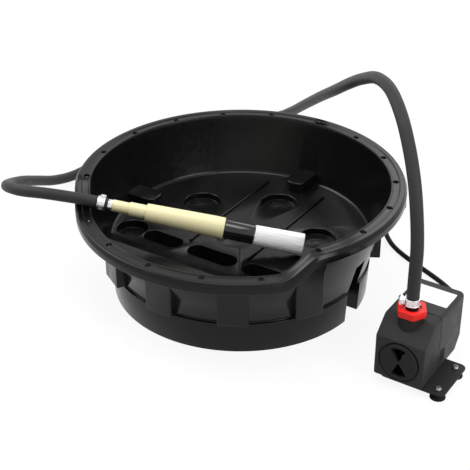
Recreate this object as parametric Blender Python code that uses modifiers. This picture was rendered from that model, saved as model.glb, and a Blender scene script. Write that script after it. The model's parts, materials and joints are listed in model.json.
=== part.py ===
"""Parts washer tank: a round moulded basin with a submersible pump, a hose and a flow-through brush.

Metres, +Z up. The tank's front (its low lip) faces -Y and the pump stands to its right, at +X.
Everything is laid out round the tank's axis, and one empty moves it all to the part's own origin,
the middle of the foot of the tank, the pump and the brush together.
"""

import math

import bmesh
import bpy
from mathutils import Vector
from mathutils.kdtree import KDTree

# Clearance between pieces that touch
GAP = 0.0003

# Basin: each ring is set in from the one outside it
RIM_R = 0.225
RIM_Z = 0.1588
RIM_FLANGE = 0.024
RIM_STEP = 0.028
STEP_FROM = math.radians(46)
STEP_TO = math.radians(60)
LIP_DEPTH = 0.013
FLANGE_THICK = 0.0045
INNER_BEAD = 0.0010
INNER_BEAD_WIDTH = 0.0015
OUTER_BEAD = 0.0012
OUTER_BEAD_WIDTH = 0.0047
BEAD_RAMP = 0.0008
EDGE_ROUND = 0.0040
HOLE_INSET = 0.015
HOLE_R = 0.004
HOLES = 18
HOLE_SIDES = 8
WALL = 0.0032
WALL_LEAN = 0.019
FLOOR_Z = 0.073
FLOOR_FILLET = 0.006
LEDGE_Z = 0.045
LEDGE_STEP = 0.001
SKIRT_LEAN = 0.0025
TURN_STEPS = 72
RIM_INNER_R = RIM_R - RIM_FLANGE
FLOOR_R = RIM_INNER_R - WALL_LEAN
HOLE_CIRCLE_R = RIM_R - HOLE_INSET
SKIRT_TOP_R = FLOOR_R - LEDGE_STEP
SKIRT_FOOT_R = SKIRT_TOP_R - SKIRT_LEAN

# Lugs round the outside, and the channels that stand between them
LUGS = 12
LUG_PITCH = math.tau / LUGS
LUG_SET_IN = 0.007
LUG_LIFT = 0.005
LUG_WIDTH = 0.040
LUG_R = RIM_INNER_R - LUG_SET_IN
LUG_Z = LEDGE_Z + LUG_LIFT
CHANNELS = (0, 3, 6)
CHANNEL_DEPTH = 0.038
CHANNEL_WIDTH = 0.024
CHANNEL_RISE = 0.013
CHANNEL_CORNER = 0.008
CHANNEL_INNER_R = FLOOR_R - CHANNEL_DEPTH
CHANNEL_TOP = FLOOR_Z + CHANNEL_RISE
NOTCH_WIDTH = 0.034
NOTCH_DEPTH = 0.008

# Floor of the basin, laid out from its edge inward
APRON_HEIGHT = 0.016
APRON_EDGE_INSET = 0.051
APRON_FOOT_INSET = 0.085
APRON_Z = FLOOR_Z + APRON_HEIGHT
APRON_EDGE_Y = APRON_EDGE_INSET - FLOOR_R
APRON_FOOT_Y = APRON_FOOT_INSET - FLOOR_R
POCKET_SET_BACK = 0.0265
POCKET_WIDTH = 0.027
POCKET_DEPTH = 0.022
POCKET_WEB = 0.013
POCKET_END_INSET = 0.070
MIDDLE_POCKET = 0.076
POCKET_Y = APRON_FOOT_Y + POCKET_SET_BACK
POCKET_STARTS = MIDDLE_POCKET / 2 + POCKET_WEB
POCKET_ENDS = FLOOR_R - POCKET_END_INSET
SIDE_POCKET = POCKET_ENDS - POCKET_STARTS
SIDE_POCKET_X = (POCKET_ENDS + POCKET_STARTS) / 2
DRAIN_R = 0.003
WELL_R = 0.026
WELL_STEPS = 3
WELL_STEP = 0.006
WELL_DEPTH = 0.012
WELL_SIDES = 16
REAR_WELL_INSET = 0.079
SIDE_WELL_INSET = 0.07555
SIDE_WELL_ANGLE = math.radians(25.6)
FRONT_WELL_SET_BACK = 0.0585
SIDE_WELL_R = FLOOR_R - SIDE_WELL_INSET
SIDE_WELL_X = SIDE_WELL_R * math.cos(SIDE_WELL_ANGLE)
SIDE_WELL_Y = SIDE_WELL_R * math.sin(SIDE_WELL_ANGLE)
WELL_PLACES = ((0, FLOOR_R - REAR_WELL_INSET), (-SIDE_WELL_X, SIDE_WELL_Y), (SIDE_WELL_X, SIDE_WELL_Y),
               (0, POCKET_Y + FRONT_WELL_SET_BACK))
CUP_R = 0.022
CUP_INSET = 0.029
CUP_ANGLE = math.radians(-27.24)
CUP_X = (FLOOR_R - CUP_INSET) * math.cos(CUP_ANGLE)
CUP_Y = (FLOOR_R - CUP_INSET) * math.sin(CUP_ANGLE)
RIB_X = 0.047
RIB_SET_BACK = 0.002
RIB_END_INSET = 0.032
RIB_WIDTH = 0.004
RIB_HEIGHT = 0.003
RIB_FRONT_Y = POCKET_Y + POCKET_WIDTH / 2 + RIB_SET_BACK
RIB_REAR_Y = FLOOR_R - RIB_END_INSET

# Pump, measured forward from its rear face, which lies in the plane of the tank's axis
PUMP_X = 0.301
PUMP_WIDTH = 0.066
PUMP_DEPTH = 0.110
PUMP_Z = 0.012
PUMP_TOP = 0.094
PUMP_FACE_TOP = 0.070
PUMP_SLOPE = 0.026
COVER_DEPTH = 0.044
PUMP_SHOULDER = PUMP_DEPTH - PUMP_SLOPE
PUMP_SEAM = PUMP_DEPTH - COVER_DEPTH
PUMP_TAIL = 0.014
PUMP_TAIL_Z = 0.030
PUMP_EDGE = 0.003
PUMP_WALL = 0.0026
AXIS_Z = 0.041
DIAL_R = 0.025
DIAL_THICK = 0.005
DIAL_PROUD = 0.002
DIAL_FLANGE = 0.001
DIAL_CHAMFER = 0.001
WINDOW_R = 0.0205
WINDOW_ROOT = 0.002
WINDOW_SPREAD = 60
WINDOW_AT = 95
VOLUTE_R = 0.0225
VOLUTE_SET_BACK = 0.014
VOLUTE_FRONT = PUMP_DEPTH - VOLUTE_SET_BACK
VOLUTE_WALL = 0.0035
EYE_R = 0.012
EYE_HUB_R = 0.0055
EYE_ARM = 0.003
OUTLET_SET_BACK = 0.026
OUTLET = PUMP_DEPTH - OUTLET_SET_BACK
SPOUT_FOOT = 0.0565
COLLAR_R = 0.015
COLLAR_TOP = 0.0975
THREAD_R = 0.013
THREAD_TOP = 0.103
OUTLET_BORE_R = 0.0075
WELL_BORE_R = 0.0135
ROTOR_PLAY = 0.004
WELL_BORE_FOOT = 0.020
MAGNET_R = 0.0125
MAGNET_END = WELL_BORE_FOOT + ROTOR_PLAY
MAGNET_FACE = PUMP_SEAM - ROTOR_PLAY
SHAFT_R = 0.002
SHAFT_PLAY = 0.0003
BUSH_R = 0.0045
BUSH_LENGTH = 0.005
FRONT_BUSH_R = 0.0035
IMPELLER_R = 0.0175
IMPELLER_DISC = 0.0018
IMPELLER_LIFT = 0.0025
IMPELLER_DISC_AT = PUMP_SEAM + IMPELLER_LIFT
IMPELLER_HUB_R = 0.006
IMPELLER_NOSE_R = 0.0042
VANES = 6
VANE_THICK = 0.0016
VANE_PLAY = 0.003
VANE_FACE = VOLUTE_FRONT - VOLUTE_WALL - VANE_PLAY
SEAL_R = 0.0205
SEAL_WIRE_R = 0.001
GLAND_Z = 0.040
GLAND_R = 0.008
GLAND_LENGTH = 0.024
GLAND_HEAD = 0.005
GLAND_TAIL_R = 0.0047
GLAND_NECK_R = 0.0064

# Foot plate and suction cups under the pump
FOOT_LEFT = 0.274
FOOT_RIGHT = 0.361
FOOT_SET_BACK = 0.002
FOOT_FRONT = PUMP_DEPTH - FOOT_SET_BACK
FOOT_REAR = 0.034
FOOT_Z = 0.009
FOOT_CORNER = 0.008
CUP_LEFT_X = 0.286
CUP_RIGHT_X = 0.350
CUP_FRONT_INSET = 0.011
CUP_REAR_INSET = 0.012
CUP_LEFT_INSET = 0.030
CUP_FRONT = FOOT_FRONT - CUP_FRONT_INSET
CUP_REAR = FOOT_REAR + CUP_REAR_INSET
CUP_LEFT_FRONT = FOOT_FRONT - CUP_LEFT_INSET
SUCTION_R = 0.010
SUCTION_NECK_R = 0.0035
SUCTION_SHOULDER_R = 0.0063
SUCTION_WAIST_R = 0.0056
SUCTION_WAIST = 0.0048
SUCTION_LIP = 0.0012
SUCTION_HOLLOW = 0.003
SCREW_R = 0.0018
SCREW_HEAD_R = 0.0042
SCREW_HEAD = 0.003
SCREW_TOP_R = 0.003
SCREW_RIM = 0.001
SCREW_END = 0.0052

# Outlet fittings and hose
NUT_FLATS = 0.034
NUT_Z = 0.0985
NUT_TOP = 0.108
SPIGOT_FLANGE = 0.002
SPIGOT_R = 0.0075
SPIGOT_TOP = 0.1105
HOSE_R = 0.008
CLAMP_WALL = 0.0014
CLAMP_WIDTH = 0.010
CLAMP_SADDLE = 0.008
WORM_R = 0.0021
WORM_HEAD_R = 0.0034
WORM_HEAD = 0.0045
WORM_TAIL = 0.001
SADDLE_HEIGHT = 0.008
PUMP_CLAMP_Z = 0.1165
PUMP_CLAMP_TURN = math.radians(-150)

# Brush: it rests over the low lip, with its bristles on the floor of the basin
REST_INSET = 0.01214
REST_ANGLE = math.radians(-136.5)
REST_RISE = 0.0097
TIP_INSET = 0.0414
TIP_Y = -0.0037
TIP_RISE = 0.0159
HOSE_END_AT = 0.0085
FITTING_FLATS = 0.013
HANDLE_AT = 0.015
HANDLE_STEPS = ((0.0230, 0.0080), (0.0230, 0.0095))
HANDLE_NECK_R = 0.0125
HANDLE_GRIP_R = 0.01475
HANDLE_END_AT = 0.168
HANDLE_CHAMFER = 0.001
GRIP_RUN = 0.012
FLOW_BORE_R = 0.004
FERRULE_END_AT = 0.210
FERRULE_R = 0.0133
FERRULE_CHAMFER = 0.0006
BRISTLE_BACK = 0.004
BRISTLE_BACK_R = 0.0134
BRISTLE_INNER_R = 0.0045
BRISTLE_RINGS = 5
BRISTLE_STEPS = 30
BRISTLE_SPACE = 0.0002
BRISTLE_SPLAY = 1.15
BRISTLE_LENGTH = 0.062
BRUSH_LENGTH = FERRULE_END_AT + GAP + BRISTLE_BACK + BRISTLE_LENGTH
BRUSH_REST = Vector(((RIM_INNER_R - REST_INSET) * math.cos(REST_ANGLE),
                     (RIM_INNER_R - REST_INSET) * math.sin(REST_ANGLE), RIM_Z - RIM_STEP + REST_RISE))
BRUSH_TIP = Vector((CHANNEL_INNER_R - TIP_INSET, TIP_Y, FLOOR_Z + TIP_RISE))
BRUSH_ALONG = (BRUSH_TIP - BRUSH_REST).normalized()
BRUSH_TAIL = BRUSH_TIP - BRUSH_ALONG * BRUSH_LENGTH

# Hose route, from the pump's outlet to the brush, chosen by hand
HOSE_ROUTE = (
    (0.300, -0.082, 0.190), (0.293, -0.075, 0.228), (0.281, -0.062, 0.262), (0.263, -0.043, 0.292),
    (0.238, -0.017, 0.318), (0.205, 0.018, 0.331), (0.166, 0.060, 0.322), (0.125, 0.104, 0.296),
    (0.083, 0.148, 0.264), (0.031, 0.204, 0.221), (-0.028, 0.266, 0.173), (-0.090, 0.330, 0.121),
    (-0.146, 0.386, 0.074), (-0.196, 0.426, 0.037), (-0.246, 0.438, 0.014), (-0.293, 0.418, 0.0083),
    (-0.328, 0.368, 0.0083), (-0.352, 0.300, 0.0083), (-0.372, 0.220, 0.0083), (-0.385, 0.150, 0.0083),
    (-0.389, 0.095, 0.0105), (-0.384, 0.045, 0.026), (-0.370, -0.006, 0.052), (-0.348, -0.060, 0.082),
    (-0.320, -0.115, 0.110), (-0.288, -0.152, 0.132), (-0.248, -0.167, 0.144), (-0.205, -0.162, 0.1497),
)
HOSE_SIDES = 3
HOSE_RISE = (0.020, 0.045)
HOSE_RUN_IN = (0.0335, 0.010)
HOSE_STEP = 0.046

# Power cord route on the ground, from the pump's gland to the coil behind the tank
CORD_R = 0.0036
CORD_FLOOR = 0.0038
CORD_ROUTE = (
    (0.300, 0.050, 0.0385), (0.293, 0.080, 0.027), (0.274, 0.110, 0.013), (0.246, 0.135, 0.0058),
    (0.218, 0.151, CORD_FLOOR), (0.190, 0.164, CORD_FLOOR), (0.160, 0.180, CORD_FLOOR),
    (0.136, 0.199, CORD_FLOOR), (0.118, 0.224, 0.0042),
)
CORD_SIDES = 2
CORD_LEAD = 0.010
CORD_RUN_IN = (0.020, 0.008)
CORD_STEP = 0.018
COIL_X = 0.062
COIL_Y = 0.292
COIL_R = 0.048
COIL_PITCH = 0.0082
COIL_TURNS = 2
COIL_POINTS = 24
COIL_LEAD_IN = 0.0072
COIL_LEAD_OUT = 0.0144
COIL_SIDES = 1
TIE_WIDTH = 0.006
TIE_WALL = 0.0008
TIE_ANGLE = math.radians(280)
PLUG_LENGTH = 0.038
PLUG_WIDTH = 0.030
PLUG_TAIL_R = 0.0055
PLUG_WAIST_R = 0.0069
PLUG_WAIST = 0.0152
PLUG_NECK = 0.0236
PLUG_CHEEK = 0.0228
PIN_ROOT = 0.004
PIN_R = 0.002
PIN_LENGTH = 0.019
PIN_SPACING = 0.0186

FRONT = math.radians(-90)
TANK_X = -(FOOT_RIGHT - RIM_R) / 2


def collection(name, parent):
    made = bpy.data.collections.new(name)
    parent.children.link(made)
    return made


for old in list(bpy.data.objects):
    bpy.data.objects.remove(old, do_unlink=True)
PARTS = collection("parts_washer_tank", bpy.context.scene.collection)
TOOLS = collection("cutters", bpy.context.scene.collection)
ADDED = collection("basin_added", TOOLS)
REMOVED = collection("basin_removed", TOOLS)
ORIGIN = bpy.data.objects.new("tank_axis", None)
ORIGIN.location = (TANK_X, 0, 0)
PARTS.objects.link(ORIGIN)


def material(name, colour, roughness, metallic=0.0):
    made = bpy.data.materials.new(name)
    made.use_nodes = True
    shader = made.node_tree.nodes["Principled BSDF"]
    shader.inputs["Base Color"].default_value = (*colour, 1)
    shader.inputs["Roughness"].default_value = roughness
    shader.inputs["Metallic"].default_value = metallic
    return made


BLACK_PLASTIC = material("black_plastic", (0.012, 0.012, 0.013), 0.28)
PUMP_PLASTIC = material("grey_pump_plastic", (0.045, 0.046, 0.050), 0.45)
BLACK_RUBBER = material("black_rubber", (0.020, 0.020, 0.021), 0.60)
HOSE_RUBBER = material("grey_hose_rubber", (0.045, 0.045, 0.047), 0.50)
RED_PLASTIC = material("red_plastic", (0.65, 0.03, 0.02), 0.40)
STEEL = material("bright_steel", (0.75, 0.75, 0.76), 0.25, 1.0)
MAGNET = material("dark_magnet", (0.08, 0.08, 0.085), 0.55, 0.6)
CERAMIC = material("white_ceramic", (0.86, 0.85, 0.82), 0.30)
YELLOW_PLASTIC = material("pale_yellow_plastic", (0.86, 0.76, 0.34), 0.40)
WHITE_NYLON = material("white_nylon", (0.88, 0.88, 0.87), 0.55)
GLOSS_BLACK = material("gloss_black", (0.008, 0.008, 0.009), 0.12)


def place(name, data, finish=None, at=(0, 0, 0), turn=(0, 0, 0), into=PARTS):
    """Make an object of a mesh or a curve, round the tank's axis; without a finish it is a cutter."""
    made = bpy.data.objects.new(name, data)
    into.objects.link(made)
    made.parent = ORIGIN
    made.location = at
    made.rotation_euler = turn
    if finish:
        data.materials.append(finish)
    else:
        made.hide_render = True
        made.display_type = "WIRE"
    return made


def cutter(name, data, at=(0, 0, 0), turn=(0, 0, 0), into=TOOLS):
    return place(name, data, None, at, turn, into)


def finish_mesh(bm, name):
    bmesh.ops.remove_doubles(bm, verts=bm.verts, dist=1e-7)
    bmesh.ops.recalc_face_normals(bm, faces=bm.faces)
    mesh = bpy.data.meshes.new(name)
    bm.to_mesh(mesh)
    bm.free()
    mesh.shade_smooth()
    mesh.set_sharp_from_angle(angle=math.radians(35))
    return mesh


def turned_bmesh(profile, steps, closed):
    """Spin a profile of (radius, height) points about Z."""
    bm = bmesh.new()
    verts = [bm.verts.new((radius, 0, height)) for radius, height in profile]
    edges = [bm.edges.new(pair) for pair in zip(verts, verts[1:])]
    if closed:
        edges.append(bm.edges.new((verts[-1], verts[0])))
    bmesh.ops.spin(bm, geom=verts + edges, axis=(0, 0, 1), cent=(0, 0, 0), steps=steps,
                   angle=math.tau, use_merge=True)
    bmesh.ops.remove_doubles(bm, verts=bm.verts, dist=1e-6)
    return bm


def turned(name, profile, steps=20):
    """A turned piece. A profile that starts and ends on the axis is solid, any other is a ring."""
    closed = profile[0][0] > 0
    return finish_mesh(turned_bmesh(profile, steps, closed), name)


def prism(name, outline, axis, low, high):
    """Extrude an outline along X, Y or Z; it is given in the other two axes, in order."""
    bm = bmesh.new()
    index = "XYZ".index(axis)
    verts = []
    for first, second in outline:
        spot = [first, second]
        spot.insert(index, low)
        verts.append(bm.verts.new(spot))
    face = bm.faces.new(verts)
    grown = bmesh.ops.extrude_face_region(bm, geom=[face])
    step = Vector((0, 0, 0))
    step[index] = high - low
    moved = [item for item in grown["geom"] if isinstance(item, bmesh.types.BMVert)]
    bmesh.ops.translate(bm, verts=moved, vec=step)
    return finish_mesh(bm, name)


def block(name, x, y, z):
    return prism(name, ((x[0], y[0]), (x[1], y[0]), (x[1], y[1]), (x[0], y[1])), "Z", *z)


def disc(name, radius, low, high, sides=20):
    return turned(name, ((0, high), (radius, high), (radius, low), (0, low)), sides)


def ring(name, inner, outer, low, high, sides=20):
    return turned(name, ((inner, high), (outer, high), (outer, low), (inner, low)), sides)


def arc(centre, radius, start, end, count):
    """Points of an arc, by angles in degrees."""
    points = []
    for index in range(count + 1):
        angle = math.radians(start + (end - start) * index / count)
        points.append((centre[0] + radius * math.cos(angle), centre[1] + radius * math.sin(angle)))
    return points


def rounded_box(x, y, radius, count=4):
    """Outline of a rectangle with round corners."""
    points = arc((x[1] - radius, y[1] - radius), radius, 0, 90, count)
    points += arc((x[0] + radius, y[1] - radius), radius, 90, 180, count)
    points += arc((x[0] + radius, y[0] + radius), radius, 180, 270, count)
    return points + arc((x[1] - radius, y[0] + radius), radius, 270, 360, count)


def hexagon(flats):
    return arc((0, 0), flats / math.sqrt(3), 0, 300, 5)


def boolean(target, tool, operation="DIFFERENCE"):
    change = target.modifiers.new(operation.lower(), "BOOLEAN")
    change.operation = operation
    change.solver = "EXACT"
    if isinstance(tool, bpy.types.Collection):
        change.operand_type = "COLLECTION"
        change.collection = tool
    else:
        change.object = tool


def round_edges(target, width, segments=2):
    change = target.modifiers.new("round", "BEVEL")
    change.width = width
    change.segments = segments
    change.limit_method = "ANGLE"
    change.angle_limit = math.radians(50)


def merge_flats(target):
    """Join the flat faces that cuts leave in strips."""
    change = target.modifiers.new("merge_flats", "DECIMATE")
    change.decimate_type = "DISSOLVE"
    change.angle_limit = math.radians(0.2)


def inner_wall_r(height):
    """Radius of the basin's inner wall, which leans out from the floor to the rim."""
    return FLOOR_R + (height - FLOOR_Z) * WALL_LEAN / (RIM_Z - LIP_DEPTH - FLOOR_Z)


def rim_drop(angle):
    """How far the rim lies below its full height, by the angle from the front."""
    away = abs(math.remainder(angle - FRONT, math.tau))
    share = min(max((STEP_TO - away) / (STEP_TO - STEP_FROM), 0), 1)
    return RIM_STEP * share * share * (3 - 2 * share)


def basin_profile():
    knee = RIM_Z - LIP_DEPTH
    floor_under = FLOOR_Z - WALL
    flange_under = RIM_Z - FLANGE_THICK
    inner_bead = RIM_INNER_R + INNER_BEAD * 2
    outer_bead = RIM_R - EDGE_ROUND
    top = [(0, FLOOR_Z), (FLOOR_R - FLOOR_FILLET, FLOOR_Z)]
    top += [(FLOOR_R - FLOOR_FILLET / 3, FLOOR_Z + FLOOR_FILLET / 5)]
    top += [(inner_wall_r(FLOOR_Z + FLOOR_FILLET), FLOOR_Z + FLOOR_FILLET), (RIM_INNER_R, knee)]
    top += [(inner_bead, RIM_Z + INNER_BEAD), (inner_bead + INNER_BEAD_WIDTH, RIM_Z + INNER_BEAD)]
    top += [(inner_bead + INNER_BEAD_WIDTH + BEAD_RAMP, RIM_Z)]
    over = [(outer_bead - OUTER_BEAD_WIDTH - BEAD_RAMP, RIM_Z)]
    over += [(outer_bead - OUTER_BEAD_WIDTH, RIM_Z + OUTER_BEAD), (outer_bead, RIM_Z + OUTER_BEAD)]
    over += [(RIM_R - EDGE_ROUND / 4, RIM_Z - EDGE_ROUND / 4), (RIM_R, RIM_Z - EDGE_ROUND), (RIM_R, knee)]
    under = [(RIM_R - WALL, knee), (RIM_R - WALL - BEAD_RAMP, flange_under)]
    under += [(RIM_INNER_R + WALL + BEAD_RAMP, flange_under), (RIM_INNER_R + WALL, knee)]
    under += [(inner_wall_r(FLOOR_Z) + WALL, FLOOR_Z), (inner_wall_r(LEDGE_Z) + WALL, LEDGE_Z)]
    skirt = [(SKIRT_TOP_R, LEDGE_Z - LEDGE_STEP), (SKIRT_FOOT_R, 0), (SKIRT_FOOT_R - WALL, 0)]
    skirt += [(SKIRT_TOP_R - WALL, LEDGE_Z - WALL), (inner_wall_r(LEDGE_Z), LEDGE_Z)]
    skirt += [(inner_wall_r(floor_under), floor_under), (0, floor_under)]
    return top + over + under + skirt


def basin_shell():
    """The turned shell, with its rim stepped down to the low lip in front."""
    bm = turned_bmesh(basin_profile(), TURN_STEPS, False)
    knee = RIM_Z - LIP_DEPTH
    for vert in bm.verts:
        share = min(max((vert.co.z - FLOOR_Z) / (knee - FLOOR_Z), 0), 1)
        vert.co.z -= share * rim_drop(math.atan2(vert.co.y, vert.co.x))
    return finish_mesh(bm, "basin")


def front_wall_r(height):
    """Radius of the inner wall behind the low lip, where it is steeper."""
    return FLOOR_R + (height - FLOOR_Z) * WALL_LEAN / (RIM_Z - RIM_STEP - LIP_DEPTH - FLOOR_Z)


def add_apron():
    """The raised apron behind the low lip, and the hollow under it."""
    run = math.hypot(APRON_FOOT_Y - APRON_EDGE_Y, APRON_Z - FLOOR_Z)
    lean = WALL * (run - (APRON_Z - FLOOR_Z)) / (APRON_FOOT_Y - APRON_EDGE_Y)
    foot = FLOOR_Z - WALL
    outline = ((APRON_FOOT_Y, FLOOR_Z), (APRON_EDGE_Y, APRON_Z), (-RIM_R, APRON_Z), (-RIM_R, foot),
               (APRON_FOOT_Y, foot))
    hollow = ((APRON_FOOT_Y - lean, foot), (APRON_EDGE_Y - lean, APRON_Z - WALL),
              (-RIM_R, APRON_Z - WALL), (-RIM_R, LEDGE_Z), (APRON_FOOT_Y - lean, LEDGE_Z))
    heights = (APRON_Z + WALL, LEDGE_Z - WALL)
    bound = cutter("apron_bound", turned("apron_bound", (
        (0, heights[0]), (front_wall_r(heights[0]) + WALL / 2, heights[0]),
        (FLOOR_R + WALL / 2, FLOOR_Z), (inner_wall_r(heights[1]) + WALL / 2, heights[1]),
        (0, heights[1])), TURN_STEPS))
    under = cutter("apron_under_bound", turned("apron_under_bound", (
        (0, heights[0]), (front_wall_r(heights[0]), heights[0]), (FLOOR_R, FLOOR_Z),
        (inner_wall_r(heights[1]), heights[1]), (0, heights[1])), TURN_STEPS))
    apron = cutter("apron", prism("apron", outline, "X", -RIM_R, RIM_R), into=ADDED)
    boolean(apron, bound, "INTERSECT")
    space = cutter("apron_hollow", prism("apron_hollow", hollow, "X", -RIM_R, RIM_R), into=REMOVED)
    boolean(space, under, "INTERSECT")


def add_lugs():
    """Upright lugs on the leaning wall, between the three channels."""
    slope = WALL_LEAN / (RIM_Z - LIP_DEPTH - FLOOR_Z)
    start = inner_wall_r(LUG_Z) + WALL / 2
    crest = LUG_Z + (LUG_R - start) / slope
    outline = ((start, LUG_Z), (LUG_R, LUG_Z), (LUG_R, crest))
    for index in range(LUGS):
        if index in CHANNELS:
            continue
        name = f"lug_{index}"
        cutter(name, prism(name, outline, "Y", -LUG_WIDTH / 2, LUG_WIDTH / 2),
               turn=(0, 0, index * LUG_PITCH), into=ADDED)


def add_channels():
    """Three upright channels that notch the skirt and stand up inside the basin as bosses."""
    half = CHANNEL_WIDTH / 2
    boss = rounded_box((CHANNEL_INNER_R - WALL, FLOOR_R + WALL), (-half - WALL, half + WALL),
                       CHANNEL_CORNER + WALL)
    slot = rounded_box((CHANNEL_INNER_R, RIM_R + CHANNEL_CORNER), (-half, half), CHANNEL_CORNER)
    mouth = (inner_wall_r(LEDGE_Z) - NOTCH_DEPTH, RIM_R)
    for index in CHANNELS:
        turn = (0, 0, index * LUG_PITCH)
        cutter(f"boss_{index}", prism("boss", boss, "Z", FLOOR_Z - WALL, CHANNEL_TOP + WALL), turn=turn,
               into=ADDED)
        cutter(f"slot_{index}", prism("slot", slot, "Z", -WALL, CHANNEL_TOP), turn=turn, into=REMOVED)
        cutter(f"notch_{index}",
               block("notch", mouth, (-NOTCH_WIDTH / 2, NOTCH_WIDTH / 2), (-WALL, LEDGE_Z)), turn=turn,
               into=REMOVED)


def add_well(name, spot, radius, depth, steps):
    """A round well in the floor, with its own wall below, going down in steps."""
    below = FLOOR_Z - depth
    shell = disc(name, radius + WALL, below - WALL, FLOOR_Z - WALL / 2, WELL_SIDES)
    cutter(name, shell, (*spot, 0), into=ADDED)
    profile = [(0, FLOOR_Z + WALL)]
    for index in range(steps):
        reach = radius - WELL_STEP * index
        profile.append((reach, FLOOR_Z + WALL - (depth + WALL) * index / steps))
        profile.append((reach, FLOOR_Z + WALL - (depth + WALL) * (index + 1) / steps))
    profile.append((0, below))
    cutter(f"{name}_hollow", turned(name, profile, WELL_SIDES), (*spot, 0), into=REMOVED)


def add_pockets():
    """Three deep pockets with round ends, each with a drain hole."""
    below = FLOOR_Z - POCKET_DEPTH
    half = POCKET_WIDTH / 2
    places = ((-SIDE_POCKET_X, SIDE_POCKET), (0, MIDDLE_POCKET), (SIDE_POCKET_X, SIDE_POCKET))
    for index, (middle, length) in enumerate(places):
        name = f"pocket_{index}"
        inside = rounded_box((-length / 2, length / 2), (-half, half), half - GAP, 4)
        outside = rounded_box((-length / 2 - WALL, length / 2 + WALL), (-half - WALL, half + WALL),
                              half + WALL - GAP, 4)
        at = (middle, POCKET_Y, 0)
        cutter(name, prism(name, outside, "Z", below - WALL, FLOOR_Z - WALL / 2), at, into=ADDED)
        cutter(f"{name}_hollow", prism(name, inside, "Z", below, FLOOR_Z + WALL), at, into=REMOVED)
        cutter(f"{name}_drain", disc(name, DRAIN_R, below - WALL * 2, FLOOR_Z, 12), at, into=REMOVED)


def add_ribs():
    for side in (-1, 1):
        reach = (side * RIB_X - RIB_WIDTH / 2, side * RIB_X + RIB_WIDTH / 2)
        name = f"rib_{side}"
        cutter(name, block(name, reach, (RIB_FRONT_Y, RIB_REAR_Y),
                           (FLOOR_Z - WALL / 2, FLOOR_Z + RIB_HEIGHT)), into=ADDED)


def add_rim_holes():
    for index in range(HOLES):
        angle = FRONT + math.tau * index / HOLES
        middle = RIM_Z - rim_drop(angle)
        spot = (HOLE_CIRCLE_R * math.cos(angle), HOLE_CIRCLE_R * math.sin(angle), 0)
        name = f"rim_hole_{index}"
        hole = disc(name, HOLE_R, middle - LIP_DEPTH, middle + LIP_DEPTH, HOLE_SIDES)
        cutter(name, hole, spot, into=REMOVED)


def make_basin():
    basin = place("basin", basin_shell(), BLACK_PLASTIC)
    add_apron()
    add_lugs()
    add_channels()
    for index, spot in enumerate(WELL_PLACES):
        add_well(f"well_{index}", spot, WELL_R, WELL_DEPTH, WELL_STEPS)
    for side in (-1, 1):
        add_well(f"cup_{side}", (side * CUP_X, CUP_Y), CUP_R, WELL_DEPTH, 1)
    add_pockets()
    add_ribs()
    add_rim_holes()
    boolean(basin, ADDED, "UNION")
    boolean(basin, REMOVED)
    merge_flats(basin)


PUMP_AXIS = {"at": (PUMP_X, 0, AXIS_Z), "turn": (math.pi / 2, 0, 0)}


def pump_outline(start, end, inset):
    """Side outline of the pump between two stations, drawn in by a wall."""
    foot = PUMP_Z + inset
    top = PUMP_TOP - inset
    if start == 0:
        outline = [(-start - inset, top), (-start - inset, PUMP_TAIL_Z), (-start - PUMP_TAIL, foot)]
    else:
        outline = [(-start, top), (-start, foot)]
    if end == PUMP_DEPTH:
        slope = (PUMP_TOP - PUMP_FACE_TOP) / (PUMP_DEPTH - PUMP_SHOULDER)
        draw = inset * (math.hypot(1, slope) - 1) / slope
        face_top = PUMP_FACE_TOP - inset * (math.hypot(1, slope) - slope)
        outline += [(-end + inset, foot), (-end + inset, face_top)]
        outline += [(-PUMP_SHOULDER + draw, top)]
    else:
        outline += [(-end, foot), (-end, top)]
    return outline


def make_pump_casing():
    half = PUMP_WIDTH / 2
    sides = (PUMP_X - half, PUMP_X + half)
    inner = (PUMP_X - half + PUMP_WALL, PUMP_X + half - PUMP_WALL)
    rear = place("motor_housing", prism("motor_housing", pump_outline(0, PUMP_SEAM, 0), "X", *sides),
                 PUMP_PLASTIC)
    round_edges(rear, PUMP_EDGE)
    boolean(rear, cutter("rotor_well", turned("rotor_well", (
        (0, PUMP_SEAM + PUMP_EDGE), (WELL_BORE_R, PUMP_SEAM + PUMP_EDGE), (WELL_BORE_R, WELL_BORE_FOOT),
        (BUSH_R + GAP, WELL_BORE_FOOT), (BUSH_R + GAP, WELL_BORE_FOOT - BUSH_LENGTH - GAP),
        (SHAFT_R + SHAFT_PLAY, WELL_BORE_FOOT - BUSH_LENGTH - GAP),
        (SHAFT_R + SHAFT_PLAY, WELL_BORE_FOOT - BUSH_LENGTH * 2),
        (0, WELL_BORE_FOOT - BUSH_LENGTH * 2))), **PUMP_AXIS))
    seal_half = SEAL_WIRE_R + GAP
    boolean(rear, cutter("seal_groove", ring("seal_groove", SEAL_R - seal_half, SEAL_R + seal_half,
                                             PUMP_SEAM - seal_half * 2, PUMP_SEAM + PUMP_EDGE), **PUMP_AXIS))
    front = place("front_cover", prism("front_cover", pump_outline(PUMP_SEAM + GAP, PUMP_DEPTH, 0), "X",
                                       *sides), PUMP_PLASTIC)
    round_edges(front, PUMP_EDGE)
    boolean(front, cutter("cover_hollow", prism("cover_hollow", pump_outline(
        PUMP_SEAM - PUMP_EDGE, PUMP_DEPTH, PUMP_WALL), "X", *inner)))
    boolean(front, cutter("dial_hole", disc("dial_hole", DIAL_R + GAP * 2, PUMP_DEPTH - PUMP_WALL * 2,
                                            PUMP_DEPTH + PUMP_WALL, 28), **PUMP_AXIS))
    boolean(front, cutter("collar_hole", disc("collar_hole", COLLAR_R + GAP, PUMP_FACE_TOP - PUMP_EDGE,
                                              COLLAR_TOP + PUMP_EDGE), (PUMP_X, -OUTLET, 0)))


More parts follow.
